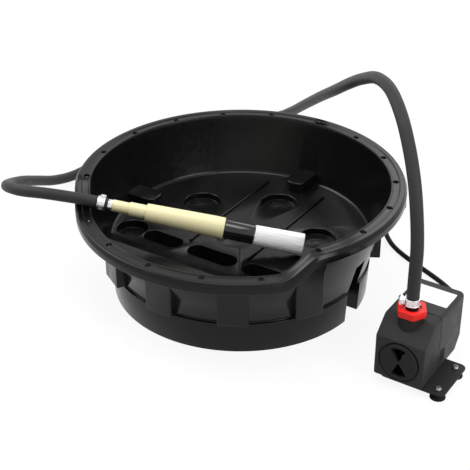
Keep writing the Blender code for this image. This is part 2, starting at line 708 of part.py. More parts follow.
def make_intake_dial():
    """The round intake cover in front, which turns to set the flow, with two pie windows."""
    face = PUMP_DEPTH + DIAL_PROUD
    seat = PUMP_DEPTH - PUMP_WALL - GAP
    dial = place("intake_dial", turned("intake_dial", (
        (0, face), (DIAL_R - DIAL_CHAMFER, face), (DIAL_R, face - DIAL_CHAMFER), (DIAL_R, seat),
        (DIAL_R + DIAL_FLANGE, seat), (DIAL_R + DIAL_FLANGE, face - DIAL_THICK - DIAL_FLANGE),
        (0, face - DIAL_THICK - DIAL_FLANGE)), 28), PUMP_PLASTIC, **PUMP_AXIS)
    for middle in (WINDOW_AT, WINDOW_AT + 180):
        low = middle - WINDOW_SPREAD / 2
        high = middle + WINDOW_SPREAD / 2
        window = arc((0, 0), WINDOW_R, low, high, 8) + arc((0, 0), WINDOW_ROOT, high, low, 2)
        name = f"dial_window_{middle}"
        boolean(dial, cutter(name, prism(name, window, "Z", PUMP_DEPTH - DIAL_THICK * 2,
                                         face + PUMP_WALL), **PUMP_AXIS))


def make_volute():
    """The impeller chamber with its suction eye and the upright outlet spout."""
    volute = place("volute_housing", turned("volute_housing", (
        (0, VOLUTE_FRONT), (VOLUTE_R, VOLUTE_FRONT), (VOLUTE_R, PUMP_SEAM + GAP), (0, PUMP_SEAM + GAP)), 24),
        BLACK_PLASTIC, **PUMP_AXIS)
    spout = (PUMP_X, -OUTLET, 0)
    boolean(volute, cutter("spout", turned("spout", (
        (0, THREAD_TOP), (THREAD_R, THREAD_TOP), (THREAD_R, COLLAR_TOP), (COLLAR_R, COLLAR_TOP),
        (COLLAR_R, SPOUT_FOOT), (0, SPOUT_FOOT))), spout), "UNION")
    chamber = VOLUTE_R - VOLUTE_WALL
    hollows = collection("volute_hollows", TOOLS)
    cutter("chamber", disc("chamber", chamber, PUMP_SEAM - PUMP_EDGE, VOLUTE_FRONT - VOLUTE_WALL, 24),
           into=hollows, **PUMP_AXIS)
    cutter("spout_bore", disc("spout_bore", OUTLET_BORE_R, AXIS_Z + chamber / 2, THREAD_TOP + WALL), spout,
           into=hollows)
    cutter("bush_seat", disc("bush_seat", FRONT_BUSH_R + GAP, PUMP_SEAM, VOLUTE_FRONT + WALL), into=hollows,
           **PUMP_AXIS)
    arm = math.degrees(EYE_ARM / EYE_R)
    for index in range(3):
        start = 120 * index + 30 + arm
        end = 120 * (index + 1) + 30 - arm
        window = arc((0, 0), EYE_R, start, end, 4) + arc((0, 0), EYE_HUB_R, end, start, 4)
        name = f"eye_{index}"
        cutter(name, prism(name, window, "Z", VOLUTE_FRONT - VOLUTE_WALL * 2, VOLUTE_FRONT + WALL),
               into=hollows, **PUMP_AXIS)
    boolean(volute, hollows)
    merge_flats(volute)


def make_rotor():
    """Magnet and impeller, turning together on a fixed shaft held in two bushes."""
    bore = SHAFT_R + SHAFT_PLAY
    place("rotor_magnet", ring("rotor_magnet", bore, MAGNET_R, MAGNET_END, MAGNET_FACE), MAGNET, **PUMP_AXIS)
    disc_face = IMPELLER_DISC_AT + IMPELLER_DISC
    impeller = place("impeller", turned("impeller", (
        (bore, VANE_FACE), (IMPELLER_NOSE_R, VANE_FACE), (IMPELLER_HUB_R, disc_face + IMPELLER_DISC),
        (IMPELLER_HUB_R, disc_face), (IMPELLER_R, disc_face), (IMPELLER_R, IMPELLER_DISC_AT),
        (IMPELLER_HUB_R, IMPELLER_DISC_AT), (IMPELLER_HUB_R, MAGNET_FACE + GAP),
        (bore, MAGNET_FACE + GAP)), 20), WHITE_NYLON, **PUMP_AXIS)
    for index in range(VANES):
        name = f"vane_{index}"
        vane = block(name, (IMPELLER_HUB_R - VANE_THICK, IMPELLER_R), (-VANE_THICK / 2, VANE_THICK / 2),
                     (disc_face - IMPELLER_DISC / 2, VANE_FACE - IMPELLER_DISC))
        angle = math.tau * index / VANES
        boolean(impeller, cutter(name, vane, (PUMP_X, 0, AXIS_Z), (math.pi / 2, angle, 0)), "UNION")
    rear = WELL_BORE_FOOT - BUSH_LENGTH
    front = VOLUTE_FRONT - VOLUTE_WALL
    place("rotor_shaft", disc("rotor_shaft", SHAFT_R, rear - BUSH_LENGTH / 2, front + VOLUTE_WALL, 20),
          CERAMIC, **PUMP_AXIS)
    place("rear_bush", ring("rear_bush", bore, BUSH_R, rear, WELL_BORE_FOOT, 24), BLACK_RUBBER, **PUMP_AXIS)
    place("front_bush", ring("front_bush", bore, FRONT_BUSH_R, front, VOLUTE_FRONT, 24), BLACK_RUBBER,
          **PUMP_AXIS)
    seat = PUMP_SEAM - SEAL_WIRE_R - GAP
    wire = arc((SEAL_R, seat), SEAL_WIRE_R, 360, 60, 5)
    place("chamber_seal", turned("chamber_seal", wire, 18), BLACK_RUBBER, **PUMP_AXIS)


def make_foot():
    """The foot plate, its four suction cups, and the two screws on the side that shows."""
    outline = rounded_box((FOOT_LEFT, FOOT_RIGHT), (-FOOT_FRONT, -FOOT_REAR), FOOT_CORNER)
    plate_top = PUMP_Z - GAP
    plate = place("foot_plate", prism("foot_plate", outline, "Z", FOOT_Z, plate_top), PUMP_PLASTIC)
    for side, x, front in (("left", CUP_LEFT_X, CUP_LEFT_FRONT), ("right", CUP_RIGHT_X, CUP_FRONT)):
        for end, forward in (("front", front), ("rear", CUP_REAR)):
            spot = (x, -forward, 0)
            name = f"{end}_{side}"
            screwed = side == "right"
            hole = SCREW_R if screwed else SUCTION_NECK_R
            boolean(plate, cutter(f"foot_hole_{name}", disc("foot_hole", hole + GAP, FOOT_Z - GAP * 4,
                                                            PUMP_Z + GAP * 4, 12), spot))
            under = FOOT_Z - GAP
            neck_top = plate_top - GAP if not screwed else under
            profile = [(SCREW_R + GAP, under)] if screwed else [(0, neck_top), (SUCTION_NECK_R, neck_top)]
            if not screwed:
                profile.append((SUCTION_NECK_R, under))
            profile += [(SUCTION_SHOULDER_R, under), (SUCTION_WAIST_R, SUCTION_WAIST)]
            profile += [(SUCTION_R, SUCTION_LIP), (SUCTION_R, 0), (SUCTION_R - SUCTION_LIP, 0)]
            profile.append((SCREW_R + GAP if screwed else 0, SUCTION_HOLLOW))
            place(f"suction_cup_{name}", turned("suction_cup", profile, 14), BLACK_RUBBER, spot)
            if screwed:
                head = plate_top + GAP
                place(f"foot_screw_{end}", turned("foot_screw", (
                    (0, head + SCREW_HEAD), (SCREW_TOP_R, head + SCREW_HEAD),
                    (SCREW_HEAD_R, head + SCREW_RIM), (SCREW_HEAD_R, head), (SCREW_R, head),
                    (SCREW_R, SCREW_END), (0, SCREW_END)), 12), STEEL, spot)


def make_outlet():
    """Union nut and hose spigot on the outlet's thread."""
    at = (PUMP_X, -OUTLET, 0)
    nut = place("union_nut", prism("union_nut", hexagon(NUT_FLATS), "Z", NUT_Z, NUT_TOP), RED_PLASTIC, at)
    flange_top = THREAD_TOP + GAP + SPIGOT_FLANGE
    boolean(nut, cutter("nut_bore", turned("nut_bore", (
        (0, NUT_TOP + WALL), (SPIGOT_R + GAP, NUT_TOP + WALL), (SPIGOT_R + GAP, flange_top + GAP),
        (THREAD_R + GAP, flange_top + GAP), (THREAD_R + GAP, NUT_Z - WALL), (0, NUT_Z - WALL))), at))
    place("hose_spigot", turned("hose_spigot", (
        (FLOW_BORE_R, SPIGOT_TOP), (SPIGOT_R, SPIGOT_TOP), (SPIGOT_R, flange_top),
        (THREAD_R - GAP, flange_top), (THREAD_R - GAP, THREAD_TOP + GAP),
        (FLOW_BORE_R, THREAD_TOP + GAP))), BLACK_PLASTIC, at)


def make_clamp(name, at, turn):
    """A worm-drive clamp round the hose: its band with the saddle, and the worm screw."""
    inner = HOSE_R + GAP
    outer = inner + CLAMP_WALL
    half = CLAMP_WIDTH / 2
    band = place(f"{name}_band", ring(name, inner, outer, -half, half), STEEL, at, turn)
    saddle = block(name, (outer - CLAMP_WALL / 2, outer + CLAMP_SADDLE - CLAMP_WALL),
                   (-CLAMP_SADDLE / 2, CLAMP_SADDLE / 2), (-SADDLE_HEIGHT / 2, SADDLE_HEIGHT / 2))
    boolean(band, cutter(f"{name}_saddle", saddle, at, turn), "UNION")
    seat = outer + CLAMP_SADDLE / 2 - CLAMP_WALL / 2
    sides = arc((0, 0), WORM_R + GAP, 0, 330, 11)
    bore = prism(name, [(seat + a, b) for a, b in sides], "Y", -CLAMP_SADDLE, CLAMP_SADDLE)
    boolean(band, cutter(f"{name}_bore", bore, at, turn))
    reach = CLAMP_SADDLE / 2
    worm = turned(name, ((0, reach + WORM_HEAD), (WORM_HEAD_R, reach + WORM_HEAD), (WORM_HEAD_R, reach + GAP),
                         (WORM_R, reach + GAP), (WORM_R, -reach - WORM_TAIL), (0, -reach - WORM_TAIL)), 12)
    for vert in worm.vertices:
        vert.co = (vert.co.x + seat, -vert.co.z, vert.co.y)
    place(f"{name}_screw", worm, STEEL, at, turn)


def brush_frame():
    """Rotation that lays local +Z along the brush."""
    return BRUSH_ALONG.to_track_quat("Z", "Y").to_euler()


def make_brush():
    at = tuple(BRUSH_TAIL)
    turn = tuple(brush_frame())
    start = HOSE_END_AT + GAP
    fitting = place("brush_fitting", prism("brush_fitting", hexagon(FITTING_FLATS), "Z", start,
                                           HANDLE_AT - GAP), STEEL, at, turn)
    bore = disc("fitting_bore", FLOW_BORE_R, 0, HANDLE_AT + WALL)
    boolean(fitting, cutter("fitting_bore", bore, at, turn))
    outline = [(FLOW_BORE_R, HANDLE_AT)]
    along = HANDLE_AT
    for length, radius in HANDLE_STEPS:
        outline += [(radius - HANDLE_CHAMFER, along), (radius, along + HANDLE_CHAMFER)]
        along += length
        outline.append((radius, along))
    outline += [(HANDLE_NECK_R - HANDLE_CHAMFER, along), (HANDLE_NECK_R, along + HANDLE_CHAMFER)]
    outline += [(HANDLE_GRIP_R, HANDLE_END_AT - GRIP_RUN), (HANDLE_GRIP_R, HANDLE_END_AT - HANDLE_CHAMFER)]
    outline += [(HANDLE_GRIP_R - HANDLE_CHAMFER, HANDLE_END_AT), (FLOW_BORE_R, HANDLE_END_AT)]
    place("brush_handle", turned("brush_handle", outline), YELLOW_PLASTIC, at, turn)
    low = HANDLE_END_AT + GAP
    place("brush_ferrule", turned("brush_ferrule", (
        (FLOW_BORE_R, low), (FERRULE_R - FERRULE_CHAMFER, low), (FERRULE_R, low + FERRULE_CHAMFER),
        (FERRULE_R, FERRULE_END_AT - FERRULE_CHAMFER), (FERRULE_R - FERRULE_CHAMFER, FERRULE_END_AT),
        (FLOW_BORE_R, FERRULE_END_AT))), GLOSS_BLACK, at, turn)
    place("brush_bristles", bristles(), WHITE_NYLON, at, turn)


def bristles():
    """Splayed strands, each drawn out of its own cell on the face of the backing."""
    low = FERRULE_END_AT + GAP
    high = low + BRISTLE_BACK
    profile = [(BRISTLE_INNER_R, low), (BRISTLE_BACK_R, low)]
    for index in range(BRISTLE_RINGS + 1):
        share = index / BRISTLE_RINGS
        profile.append((BRISTLE_BACK_R + (BRISTLE_INNER_R - BRISTLE_BACK_R) * share, high))
    bm = turned_bmesh(profile, BRISTLE_STEPS, True)
    bmesh.ops.recalc_face_normals(bm, faces=bm.faces)
    cells = [face for face in bm.faces if min(vert.co.z for vert in face.verts) > high - 1e-5]
    cells = bmesh.ops.triangulate(bm, faces=cells)["faces"]
    bmesh.ops.inset_individual(bm, faces=cells, thickness=BRISTLE_SPACE, use_even_offset=True)
    strands = bmesh.ops.extrude_discrete_faces(bm, faces=cells)["faces"]
    for face in strands:
        for vert in face.verts:
            vert.co.x *= BRISTLE_SPLAY
            vert.co.y *= BRISTLE_SPLAY
            vert.co.z += BRISTLE_LENGTH
    return finish_mesh(bm, "brush_bristles")


def smooth_route(knots, step):
    """Points at even spacing on a smooth curve through the knots."""
    knots = [Vector(knot) for knot in knots]
    ends = [knots[0] * 2 - knots[1]] + knots + [knots[-1] * 2 - knots[-2]]
    fine = [knots[0]]
    for a, b, c, d in zip(ends, ends[1:], ends[2:], ends[3:]):
        for index in range(1, 21):
            t = index / 20
            fine.append(0.5 * (2 * b + (c - a) * t + (2 * a - 5 * b + 4 * c - d) * t ** 2
                               + (3 * b - a - 3 * c + d) * t ** 3))
    length = sum((b - a).length for a, b in zip(fine, fine[1:]))
    count = round(length / step)
    route = [fine[0]]
    run = 0.0
    for a, b in zip(fine, fine[1:]):
        part = (b - a).length
        while len(route) < count and run + part >= length * len(route) / count:
            route.append(a.lerp(b, (length * len(route) / count - run) / part))
        run += part
    route.append(fine[-1])
    return route, length


def tube(name, route, radius, sides, finish):
    data = bpy.data.curves.new(name, "CURVE")
    data.dimensions = "3D"
    spline = data.splines.new("POLY")
    spline.points.add(len(route) - 1)
    for point, spot in zip(spline.points, route):
        point.co = (*spot, 1)
    data.bevel_depth = radius
    data.bevel_resolution = sides
    data.use_fill_caps = True
    return place(name, data, finish)


def make_hose():
    """The hose, straight out of the pump's spigot and straight into the brush."""
    spigot = Vector((PUMP_X, -OUTLET, SPIGOT_TOP + GAP))
    rise = [spigot] + [spigot + Vector((0, 0, height)) for height in HOSE_RISE]
    end = BRUSH_TAIL + BRUSH_ALONG * HOSE_END_AT
    run_in = [end - BRUSH_ALONG * back for back in HOSE_RUN_IN] + [end]
    route, length = smooth_route(rise + list(HOSE_ROUTE) + run_in, HOSE_STEP)
    tube("hose", route, HOSE_R, HOSE_SIDES, HOSE_RUBBER)
    print(f"hose length {length:.3f}")


def coil_route():
    """Two layers: in along the first, up and round, and out along the second, as one unbroken line."""
    half = COIL_TURNS + 0.25
    count = round(half * 2 * COIL_POINTS)
    centre = Vector((COIL_X, COIL_Y, 0))
    low = CORD_R + TIE_WALL + GAP
    points = []
    for index in range(count + 1):
        turn = half * 2 * index / count
        radius = COIL_R - COIL_PITCH * (half - abs(turn - half))
        climb = min(max((turn - half) * 2 + 0.5, 0), 1)
        height = low + COIL_PITCH * climb * climb * (3 - 2 * climb)
        angle = math.tau * turn
        points.append(centre + Vector((radius * math.cos(angle), radius * math.sin(angle), height)))
    lead_in = (points[0] - points[1]).normalized() * COIL_LEAD_IN
    lead_out = (points[-1] - points[-2]).normalized() * COIL_LEAD_OUT
    return [points[0] + lead_in] + points + [points[-1] + lead_out]


def least_self_gap(route, radius):
    """Smallest space between two stretches of one tube that aren't neighbours."""
    fine = []
    for a, b in zip(route, route[1:]):
        fine += [a.lerp(b, index / 8) for index in range(8)]
    tree = KDTree(len(fine))
    for index, spot in enumerate(fine):
        tree.insert(spot, index)
    tree.balance()
    far = 8 * COIL_POINTS // 2
    least = 1.0
    for index, spot in enumerate(fine):
        for _, other, distance in tree.find_range(spot, radius * 4):
            if abs(other - index) > far:
                least = min(least, distance)
    return least - radius * 2


def make_cord():
    """Gland, free cord, coil with its tie, and the plug that ends it."""
    place("cable_gland", turned("cable_gland", (
        (0, GLAND_LENGTH + GAP), (GLAND_TAIL_R, GLAND_LENGTH + GAP), (GLAND_NECK_R, GLAND_HEAD + GAP),
        (GLAND_R, GLAND_HEAD + GAP), (GLAND_R, GAP), (0, GAP)), 20), BLACK_RUBBER,
        (PUMP_X, 0, GLAND_Z), (-math.pi / 2, 0, 0))
    coil = coil_route()
    gap = least_self_gap(coil, CORD_R)
    print(f"coil least self gap {gap * 1000:.2f} mm")
    coil_length = sum((b - a).length for a, b in zip(coil, coil[1:]))
    tube("cord_coil", coil, CORD_R, COIL_SIDES, BLACK_RUBBER)
    exit_point = Vector((PUMP_X, GLAND_LENGTH + GAP * 2, GLAND_Z))
    arrive = (coil[1] - coil[0]).normalized()
    end = coil[0] - arrive * GAP
    run_in = [end - arrive * back for back in CORD_RUN_IN] + [end]
    start = [exit_point, exit_point + Vector((0, CORD_LEAD, 0))]
    route, length = smooth_route(start + list(CORD_ROUTE) + run_in, CORD_STEP)
    tube("power_cord", route, CORD_R, CORD_SIDES, BLACK_RUBBER)
    print(f"cord length {length + coil_length:.3f}")
    make_tie()
    make_plug(coil[-1], (coil[-1] - coil[-2]).normalized())


def make_tie():
    """A strap round the coil's turns."""
    inner_r = COIL_R - COIL_PITCH * (COIL_TURNS + 0.25) - CORD_R - GAP
    outer_r = COIL_R + CORD_R + GAP
    low = TIE_WALL
    high = TIE_WALL + GAP + CORD_R * 2 + COIL_PITCH + GAP
    at = (COIL_X, COIL_Y, 0)
    turn = (0, 0, TIE_ANGLE)
    half = TIE_WIDTH / 2
    tie = place("coil_tie", block("coil_tie", (inner_r - TIE_WALL, outer_r + TIE_WALL), (-half, half),
                                  (low - TIE_WALL, high + TIE_WALL)), WHITE_NYLON, at, turn)
    boolean(tie, cutter("tie_inside", block("tie_inside", (inner_r, outer_r), (-half * 2, half * 2),
                                            (low, high)), at, turn))


def make_plug(end, along):
    """A plain two-pin plug lying beside the coil."""
    at = tuple(end)
    turn = tuple(along.to_track_quat("Z", "X").to_euler())
    half = PLUG_WIDTH / 2
    deep = end.z - GAP
    plug = place("plug", turned("plug", (
        (0, GAP), (PLUG_TAIL_R, GAP), (PLUG_WAIST_R, PLUG_WAIST), (deep, PLUG_NECK), (deep, PLUG_LENGTH),
        (0, PLUG_LENGTH)), 16), BLACK_RUBBER, at, turn)
    cheeks = prism("plug_body", rounded_box((GAP - deep, deep - GAP), (-half, half), deep - GAP * 4), "Z",
                   PLUG_CHEEK, PLUG_LENGTH - GAP)
    boolean(plug, cutter("plug_body", cheeks, at, turn), "UNION")
    for side in (-1, 1):
        name = f"pin_{side}"
        pin = disc(name, PIN_R, PLUG_LENGTH - PIN_ROOT, PLUG_LENGTH + PIN_LENGTH, 12)
        for vert in pin.vertices:
            vert.co.y += side * PIN_SPACING / 2
        boolean(plug, cutter(name, pin, at, turn), "UNION")


make_basin()
make_pump_casing()
make_intake_dial()
make_volute()
make_rotor()
make_foot()
make_outlet()
make_clamp("pump_clamp", (PUMP_X, -OUTLET, PUMP_CLAMP_Z), (0, 0, PUMP_CLAMP_TURN))
make_clamp("brush_clamp", tuple(BRUSH_TAIL), tuple(brush_frame()))
make_brush()
make_hose()
make_cord()
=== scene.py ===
"""Parts washer tank: a moulded basin with a submersible pump, a hose and a flow-through brush.

The frame gives the places and sizes. Everything is drawn round the tank's own axis, in metres, and
moved to the frame's origin in the mesh, so every finished piece stands at the origin.
"""

import json
import math
import random

import bmesh
import bpy
from bpy.props import FloatProperty, FloatVectorProperty, IntProperty, PointerProperty
from mathutils import Matrix, Quaternion, Vector

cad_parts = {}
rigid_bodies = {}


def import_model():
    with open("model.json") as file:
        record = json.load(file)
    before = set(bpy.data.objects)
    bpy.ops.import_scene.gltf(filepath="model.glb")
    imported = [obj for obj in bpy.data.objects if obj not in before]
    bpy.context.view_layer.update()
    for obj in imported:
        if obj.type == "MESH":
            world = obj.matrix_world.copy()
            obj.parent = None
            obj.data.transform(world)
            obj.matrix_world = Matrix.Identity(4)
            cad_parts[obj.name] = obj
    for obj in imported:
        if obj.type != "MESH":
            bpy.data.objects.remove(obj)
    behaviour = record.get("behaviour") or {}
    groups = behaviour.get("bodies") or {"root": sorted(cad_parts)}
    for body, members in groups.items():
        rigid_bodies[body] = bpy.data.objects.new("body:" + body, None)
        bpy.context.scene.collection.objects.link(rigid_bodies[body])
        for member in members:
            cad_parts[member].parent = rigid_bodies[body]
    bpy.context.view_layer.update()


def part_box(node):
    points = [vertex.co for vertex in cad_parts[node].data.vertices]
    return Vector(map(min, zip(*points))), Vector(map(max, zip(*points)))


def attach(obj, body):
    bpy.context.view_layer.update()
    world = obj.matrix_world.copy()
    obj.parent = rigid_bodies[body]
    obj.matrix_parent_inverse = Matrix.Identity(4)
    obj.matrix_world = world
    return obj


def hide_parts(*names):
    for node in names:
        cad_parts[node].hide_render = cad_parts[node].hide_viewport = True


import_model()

bl_info = {
    "name": "Parts washer tank",
    "version": (1, 0, 0),
    "blender": (4, 5, 0),
    "location": "3D View > Sidebar > Washer",
    "description": "Builds a parts washer tank with its pump, hose, brush and cord",
    "category": "Object",
}

GAP = 0.0003
BASIN_LOW, BASIN_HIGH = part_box("basin")
TANK = Vector(((BASIN_LOW.x + BASIN_HIGH.x) / 2, 0, 0))

# Basin
RIM_BEAD = 0.0012
RIM_BEAD_INSET = 0.0045
RIM_PLATE = 0.0045
# Rows of the rim's section: out from its edge or bead, up from its flat, corner radius
RIM_EDGE_ROWS = ((0.0013, -0.0035), (0.0025, 0.0010, 0.0012), (0.0044, 0.0010, 0.0004), (0.0052, 0, 0.0004))
RIM_BEAD_ROWS = ((-0.0060, 0, 0.0004), (-0.0050, RIM_BEAD, 0.0006), (0.0016, RIM_BEAD, 0.0020))
RIM_INNER_R = 0.201
STEP_FROM = math.radians(46)
STEP_TO = math.radians(60)
LIP_DEPTH = 0.013
WALL = 0.0032
FLOOR_R = 0.182
FLOOR_FILLET = 0.006
LEDGE_Z = 0.045
SKIRT_TOP_R = 0.181
SKIRT_FOOT_R = 0.1785
RIM_STEPS = 288
HOLE_CIRCLE_R = 0.210
HOLE_R = 0.004
HOLES = 18
FRONT = math.radians(-90)
LUG_R = 0.194
LUG_Z = 0.050
LUG_WIDTH = 0.040
LUG_PLACES = 12
LUG_PITCH = math.tau / LUG_PLACES
CHANNELS = (0, 3, 6)
CHANNEL_INNER_R = 0.144
CHANNEL_WIDTH = 0.024
CHANNEL_TOP = 0.086
CHANNEL_CORNER = 0.008
NOTCH_WIDTH = 0.034
APRON_Z = 0.089
APRON_EDGE_Y = -0.131
APRON_FOOT_Y = -0.097
WELL_PLACES = ((0.0, 0.103), (-0.096, 0.046), (0.096, 0.046), (0.0, -0.012))
WELL_STEPS = ((0.026, 0.0094), (0.0195, 0.0112), (0.0125, 0.012))
CUP_PLACES = ((-0.136, -0.070), (0.136, -0.070))
CUP_STEPS = ((0.022, 0.012),)
POCKETS = ((-0.0815, 0.061), (0.0, 0.076), (0.0815, 0.061))
POCKET_Y = -0.0705
POCKET_WIDTH = 0.027
POCKET_DEPTH = 0.022
POCKET_FLAT = 0.0002
DRAIN_R = 0.003
RIB_X = 0.047
RIB_REACH = (-0.055, 0.150)
RIB_WIDTH = 0.004
RIB_HEIGHT = 0.003
MOUTH = 0.0012

# Pump
PUMP_X = 0.301
PUMP_WIDTH = 0.066
PUMP_DEPTH = 0.110
PUMP_Z = 0.012
PUMP_TOP = 0.094
PUMP_FACE_TOP = 0.070
PUMP_SHOULDER = 0.084
PUMP_SEAM = 0.066
PUMP_TAIL = 0.014
PUMP_TAIL_Z = 0.030
PUMP_EDGE = 0.0014
PUMP_CROWN = 0.006
PUMP_KEEL = 0.003
PUMP_WALL = 0.0026
SEAM_WIDTH = 0.0009
SEAM_DEPTH = 0.0014
AXIS_Z = 0.041
DIAL_R = 0.025
DIAL_PROUD = 0.002
DIAL_THICK = 0.006
DIAL_GROOVE = 0.0019
DIAL_GROOVE_DEPTH = 0.0016
WINDOW_R = 0.0205
WINDOW_ROOT = 0.002
WINDOW_SPREAD = math.radians(60)
WINDOW_AT = math.radians(95)
OUTLET = 0.084
COLLAR_R = 0.0152
COLLAR_TOP = 0.0975
ROTOR_WELL = (0.0135, 0.015)
FOOT_X = (0.274, 0.361)
FOOT_Y = (-0.108, -0.034)
FOOT_Z = (0.009, 0.0117)
CUPS = ((0.286, -0.078), (0.286, -0.046), (0.350, -0.097), (0.350, -0.046))
SCREWS = ((0.350, -0.097), (0.350, -0.046))
SUCTION_R = 0.010
SEAL_GROOVE_R = (0.0192, 0.0218)
SEAL_GROOVE_DEPTH = 0.0026
FOOT_CORNER = 0.008
FOOT_EDGE = 0.0006
STEM_R = 0.0035
STEM_BORE_R = 0.0038
CUP_NECK_R = 0.0063
CUP_WAIST_R = 0.0056
SCREW_BORE_R = 0.0021
SCREW_R = 0.0018
SCREW_HEAD_R = 0.0042
SCREW_CROWN_R = 0.0030
SCREW_HEIGHT = 0.003
SCREW_TIP_Z = 0.0052
SCREW_CROSS = (0.0052, 0.0010)
SCREW_CROSS_Z = (0.0017, 0.004)
SCREW_TURNS = (0.5, 1.1)
PLATE_X = (PUMP_X - 0.0255, PUMP_X + 0.0285)
PLATE_Y = (-0.0455, -0.0120)
PLATE_CORNER = 0.0012
PLATE_PROUD = 0.0004
PLATE_EDGE = 0.0002
GRIP_RIBS = 6
GRIP_START = 0.0045
GRIP_PITCH = 0.0024
GRIP_WIDTH = 0.0012
GRIP_PROUD = 0.0006
GRIP_Z = (0.024, 0.042)
GRIP_EDGE = 0.0004

# Outlet, clamps and brush
NUT_FLATS = 0.034
NUT_Z = (0.0985, 0.108)
NUT_MOUTH_R = 0.0120
NUT_NECK = (0.0112, NUT_Z[1] - 0.0022)
NUT_THREAD_R = 0.0133
NUT_THREAD_TOP = 0.1056
SPIGOT_R = 0.0075
SPIGOT_TOP = 0.1105
SPIGOT_FLANGE_R = 0.0127
SPIGOT_FLANGE_Z = (0.1033, 0.1053)
COLLAR_WALL = 0.0015
CLAMP_R = 0.008
CLAMP_WALL = 0.0014
CLAMP_WIDTH = 0.010
CLAMP_SADDLE = 0.008
CLAMP_ROLL = 0.0009
CLAMP_ROLL_HEIGHT = 0.0005
CLAMP_SLOTS = 15
CLAMP_SLOT_FROM = math.radians(55)
CLAMP_SLOT_PITCH = math.radians(18)
CLAMP_SLOT_LEAN = 0.25
CLAMP_SLOT_WIDTH = 0.0012
CLAMP_SLOT_DEPTH = 0.0009
WORM_R = 0.0021
WORM_BORE_R = 0.0024
WORM_HEAD_R = 0.0034
WORM_HEAD = 0.0045
WORM_SLOT = (0.001, 0.008)
WORM_SLOT_DEPTH = 0.0012
PUMP_CLAMP_Z = 0.1165
PUMP_CLAMP_TURN = math.radians(-150)
BRUSH_REST = Vector((-0.137, -0.130, 0.1405))
BRUSH_TIP = Vector((0.1026, -0.0037, 0.0889))
HOSE_END_AT = 0.0085
HANDLE_AT = 0.015
HANDLE_END_AT = 0.168
FERRULE_END_AT = 0.210
FLOW_BORE_R = 0.004
FITTING_FLATS = 0.013
HANDLE_SECTION = (
    (FLOW_BORE_R, HANDLE_AT), (0.0080, HANDLE_AT, 0.0010), (0.0080, 0.038, 0.0003), (0.0095, 0.038, 0.0009),
    (0.0095, 0.061, 0.0003), (0.0122, 0.061, 0.0012), (0.01475, 0.156, 0.02),
    (0.01475, HANDLE_END_AT, 0.0010), (FLOW_BORE_R, HANDLE_END_AT),
)
FERRULE_R = 0.0133
FERRULE_BORE_R = 0.0128
FERRULE_SEAT = 0.004
BRISTLE_R = 0.0134
BRISTLE_SPLAY = 1.15
BRISTLE_LENGTH = 0.066
STRAND_R = 0.00039
STRAND_ROOT = 0.002
STRAND_TRIM = 0.0012
STRAND_DRIFT = 0.00012
STRAND_STAGES = 4
STRAND_CORE_R = 0.0030
STRAND_INSET = 0.0034
STRAND_SEED = 7
BRUSH_ALONG = (BRUSH_TIP - BRUSH_REST).normalized()
BRUSH_TAIL = BRUSH_TIP - BRUSH_ALONG * (FERRULE_END_AT + GAP + BRISTLE_LENGTH)

# Hose and cord routes, as in the part
HOSE_ROUTE = (
    (0.300, -0.082, 0.190), (0.293, -0.075, 0.228), (0.281, -0.062, 0.262), (0.263, -0.043, 0.292),
    (0.238, -0.017, 0.318), (0.205, 0.018, 0.331), (0.166, 0.060, 0.322), (0.125, 0.104, 0.296),
    (0.083, 0.148, 0.264), (0.031, 0.204, 0.221), (-0.028, 0.266, 0.173), (-0.090, 0.330, 0.121),
    (-0.146, 0.386, 0.074), (-0.196, 0.426, 0.037), (-0.246, 0.438, 0.014), (-0.293, 0.418, 0.0083),
    (-0.328, 0.368, 0.0083), (-0.352, 0.300, 0.0083), (-0.372, 0.220, 0.0083), (-0.385, 0.150, 0.0083),
    (-0.389, 0.095, 0.0105), (-0.384, 0.045, 0.026), (-0.370, -0.006, 0.052), (-0.348, -0.060, 0.082),
    (-0.320, -0.115, 0.110), (-0.288, -0.152, 0.132), (-0.248, -0.167, 0.144), (-0.205, -0.162, 0.1497),
)
HOSE_RISE = (0.0, 0.020, 0.045)
HOSE_RUN_IN = (0.0335, 0.010, 0.0)
HOSE_STEP = 0.008
CORD_R = 0.0036
CORD_FLOOR = 0.0038
CORD_ROUTE = (
    (0.300, 0.050, 0.0385), (0.293, 0.080, 0.027), (0.274, 0.110, 0.013), (0.246, 0.135, 0.0058),
    (0.218, 0.151, CORD_FLOOR), (0.190, 0.164, CORD_FLOOR), (0.160, 0.180, CORD_FLOOR),
    (0.136, 0.199, CORD_FLOOR), (0.118, 0.224, 0.0042),
)
CORD_LEAD = 0.010
CORD_RUN_IN = (0.020, 0.008, 0.0)
CORD_STEP = 0.006
GLAND_Z = 0.040
GLAND_R = 0.008
GLAND_LENGTH = 0.024
GLAND_RIBS = 5
GLAND_RIB_PITCH = 0.0034
GLAND_RIB_GROWTH = 0.00022
COIL_CENTRE = Vector((0.062, 0.292, 0))
COIL_R = 0.048
COIL_PITCH = 0.0082
COIL_HALF_TURNS = 2.25
COIL_POINTS = 24
COIL_LEAD_IN = 0.0072
COIL_LEAD_OUT = 0.0144
TIE_WALL = 0.0008
PLUG_LENGTH = 0.038
PLUG_WIDTH = 0.030
PIN_R = 0.002
PIN_REACH = 0.019
PIN_ROOT = 0.003
PIN_SPREAD = 0.0093

# Camera, found from the photograph
CAMERA_AT = Vector((0.6903, -1.1656, 0.8958))
CAMERA_TARGET = Vector((-0.0744, -0.0042, 0.0697))
CAMERA_LENS = 88.74
CAMERA_ROLL = math.radians(-0.33)

